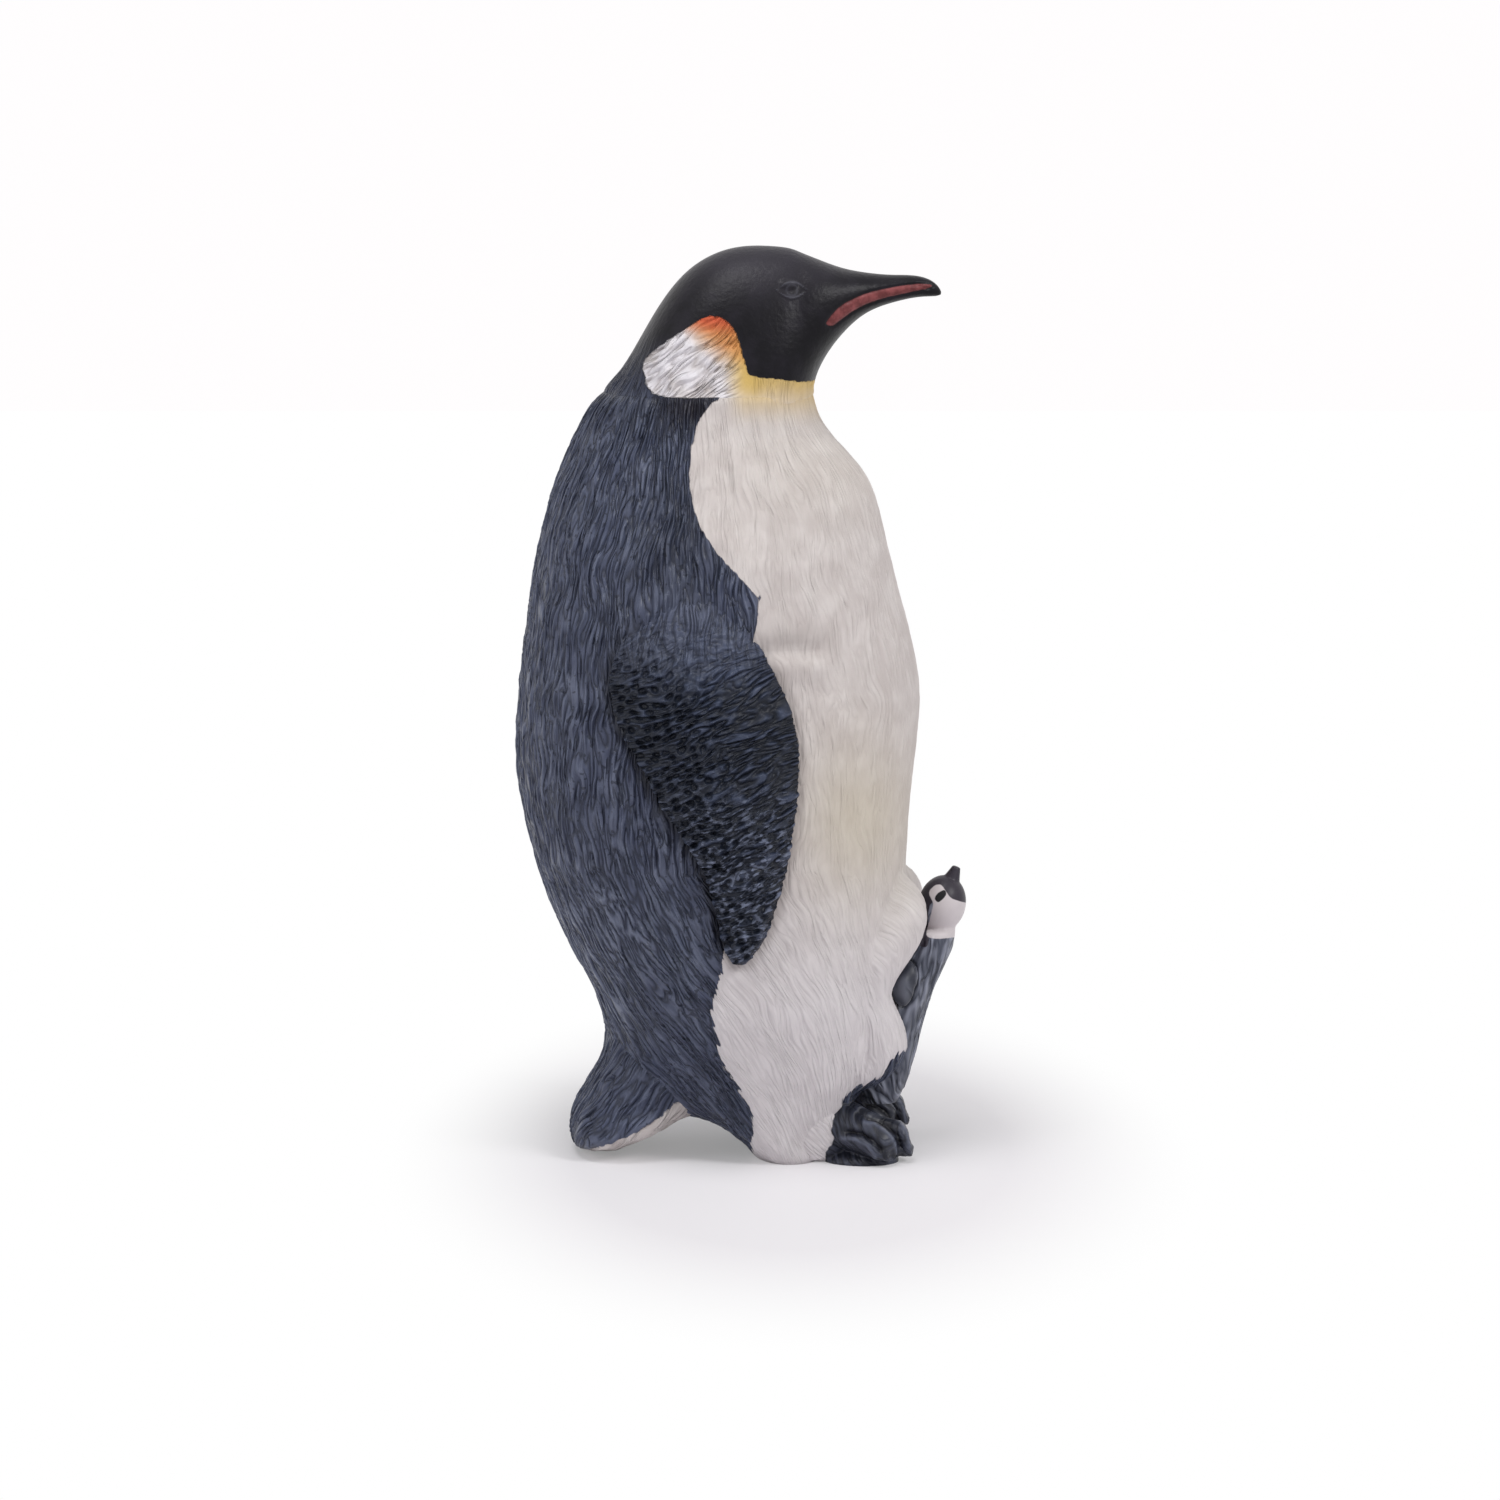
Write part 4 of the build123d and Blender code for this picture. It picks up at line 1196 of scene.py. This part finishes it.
chick = voxel_skin("chick", CHICK_VOXEL, CHICK_PASSES)
relax(chick, bell(seen(places(chick))[:, 1], *CHICK_NECK), NECK_PASSES)
points = places(chick)
ahead, sideways, height = points.T
spine = np.interp(height, SPINE_HEIGHTS, SPINE_PLACES)
note(chick, "flow", wrapped(CHICK_RADIUS * np.arctan2(sideways, ahead - spine), height))
for name, outline in (("cap", CHICK_CAP), ("face", CHICK_FACE), ("eye", CHICK_EYE)):
    note(chick, name, inside(points, outline))
leaf = inside(points, CHICK_FLIPPER)
body = climb(seen(points)[:, 1], *CHICK_BODY)
line = bell(leaf, 0, LEAF_LINE)
note(chick, "carved", body * np.maximum(0.9 * line, 0.6 * climb(leaf, -0.05, 0.15)))
note(chick, "swell", body * (LEAF_HEIGHT * climb(leaf, -0.05, 0.3) - LEAF_CUT * line))
note(chick, "relief", FACE_RELIEF + (1 - FACE_RELIEF) * body)
chick = sculpt(chick, feathers, chick_finish, CHICK_CUT, CHICK_LUMP, CHICK_SEED)
finished(chick, "chick")

# %% [markdown]
# A plain white table under soft studio light. Near the bird the floor is a real matt surface that
# takes its shadow. It is also a greyer mauve than the white beyond, which is a painted shadow around the
# bird, and a share of white glow, painted light, lightens that floor for the camera. Further out it
# turns to plain white for the camera, so that no horizon shows. The world does the same: the camera and
# reflections see white, while its light on the bird is weak.

# %% Floor
FLOOR_SIZE = 2.0
FLOOR_AND_SHADOW_COLOUR, FLOOR_ROUGHNESS = (0.80, 0.775, 0.81, 1), 0.7
FLOOR_FADE, FLOOR_STRETCH, FLOOR_GLOW = (0.012, 0.041), 0.5, 0.26


def sees_white(wire):
    """1 for the rays that see the plain white studio: the camera's, glossy and transmitted ones."""
    shown = wire.make("ShaderNodeLightPath", (), (), "Is Camera Ray")
    rays = shown.socket.node.outputs
    for name in ("Is Glossy Ray", "Is Transmission Ray"):
        shown = shown.upper(Wire(wire.tree, rays[name]))
    return shown


def floor_paint():
    """A matt table, greyer near the bird as a painted shadow and lightened there by white glow, that turns
    to plain white away from the bird.
    """
    made, wire, shader = material("white table")
    links = wire.tree.links
    # Painted shadow: the near floor is greyer mauve than the white beyond
    shader.inputs["Base Color"].default_value = FLOOR_AND_SHADOW_COLOUR
    shader.inputs["Roughness"].default_value = FLOOR_ROUGHNESS
    place = wire.make("ShaderNodeTexCoord", (), (), "Object")
    reach = wire.vector("LENGTH", wire.vector("MULTIPLY", place, (1, FLOOR_STRETCH, 0)))
    reach = Wire(wire.tree, reach.socket.node.outputs["Value"])
    plain = wire.make("ShaderNodeEmission", (), {"Color": (1, 1, 1, 1), "Strength": 1.0})
    join = wire.tree.nodes.new("ShaderNodeMixShader")
    # Painted light: near the bird a share of white glow lightens the floor for the camera
    links.new((reach.ease(*FLOOR_FADE).upper(FLOOR_GLOW) * sees_white(wire)).socket, join.inputs[0])
    links.new(shader.outputs[0], join.inputs[1])
    links.new(plain.socket, join.inputs[2])
    end = next(node for node in wire.tree.nodes if node.type == "OUTPUT_MATERIAL")
    links.new(join.outputs[0], end.inputs["Surface"])
    return made


half = FLOOR_SIZE / 2
corners = [(-half, -half, 0), (half, -half, 0), (half, half, 0), (-half, half, 0)]
floor_mesh = bpy.data.meshes.new("floor")
floor_mesh.from_pydata(corners, [], [(0, 1, 2, 3)])
floor = bpy.data.objects.new("floor", floor_mesh)
floor_mesh.materials.append(floor_paint())
collection.objects.link(floor)
print("floor", FLOOR_SIZE, "m wide")

# %% World and lamps
SKY_COLOUR, SKY_LIGHT = (1.0, 0.985, 0.99, 1), 0.27

world = bpy.data.worlds.new("studio")
world.use_nodes = True
bpy.context.scene.world = world
background = next(node for node in world.node_tree.nodes if node.type == "BACKGROUND")
background.inputs["Color"].default_value = SKY_COLOUR
strength = SKY_LIGHT + sees_white(Wire(world.node_tree)) * (1 - SKY_LIGHT)
world.node_tree.links.new(strength.socket, background.inputs["Strength"])


def lamp(name, place, size, power):
    """A soft square lamp that looks at the middle of the bird."""
    made = bpy.data.objects.new(name, bpy.data.lights.new(name, "AREA"))
    made.data.size = size
    made.data.energy = power
    made.location = place
    made.rotation_euler = (Vector(place) - TARGET).to_track_quat("Z", "Y").to_euler()
    collection.objects.link(made)


lamp("key", (0.50, -0.38, 0.50), 0.22, 2.6)
lamp("fill", (-0.55, -0.30, 0.35), 0.40, 1.0)
lamp("top", (-0.10, -0.20, 0.72), 0.30, 2.0)
bpy.context.scene.view_settings.view_transform = "Standard"
print("lamps: key, fill, top")
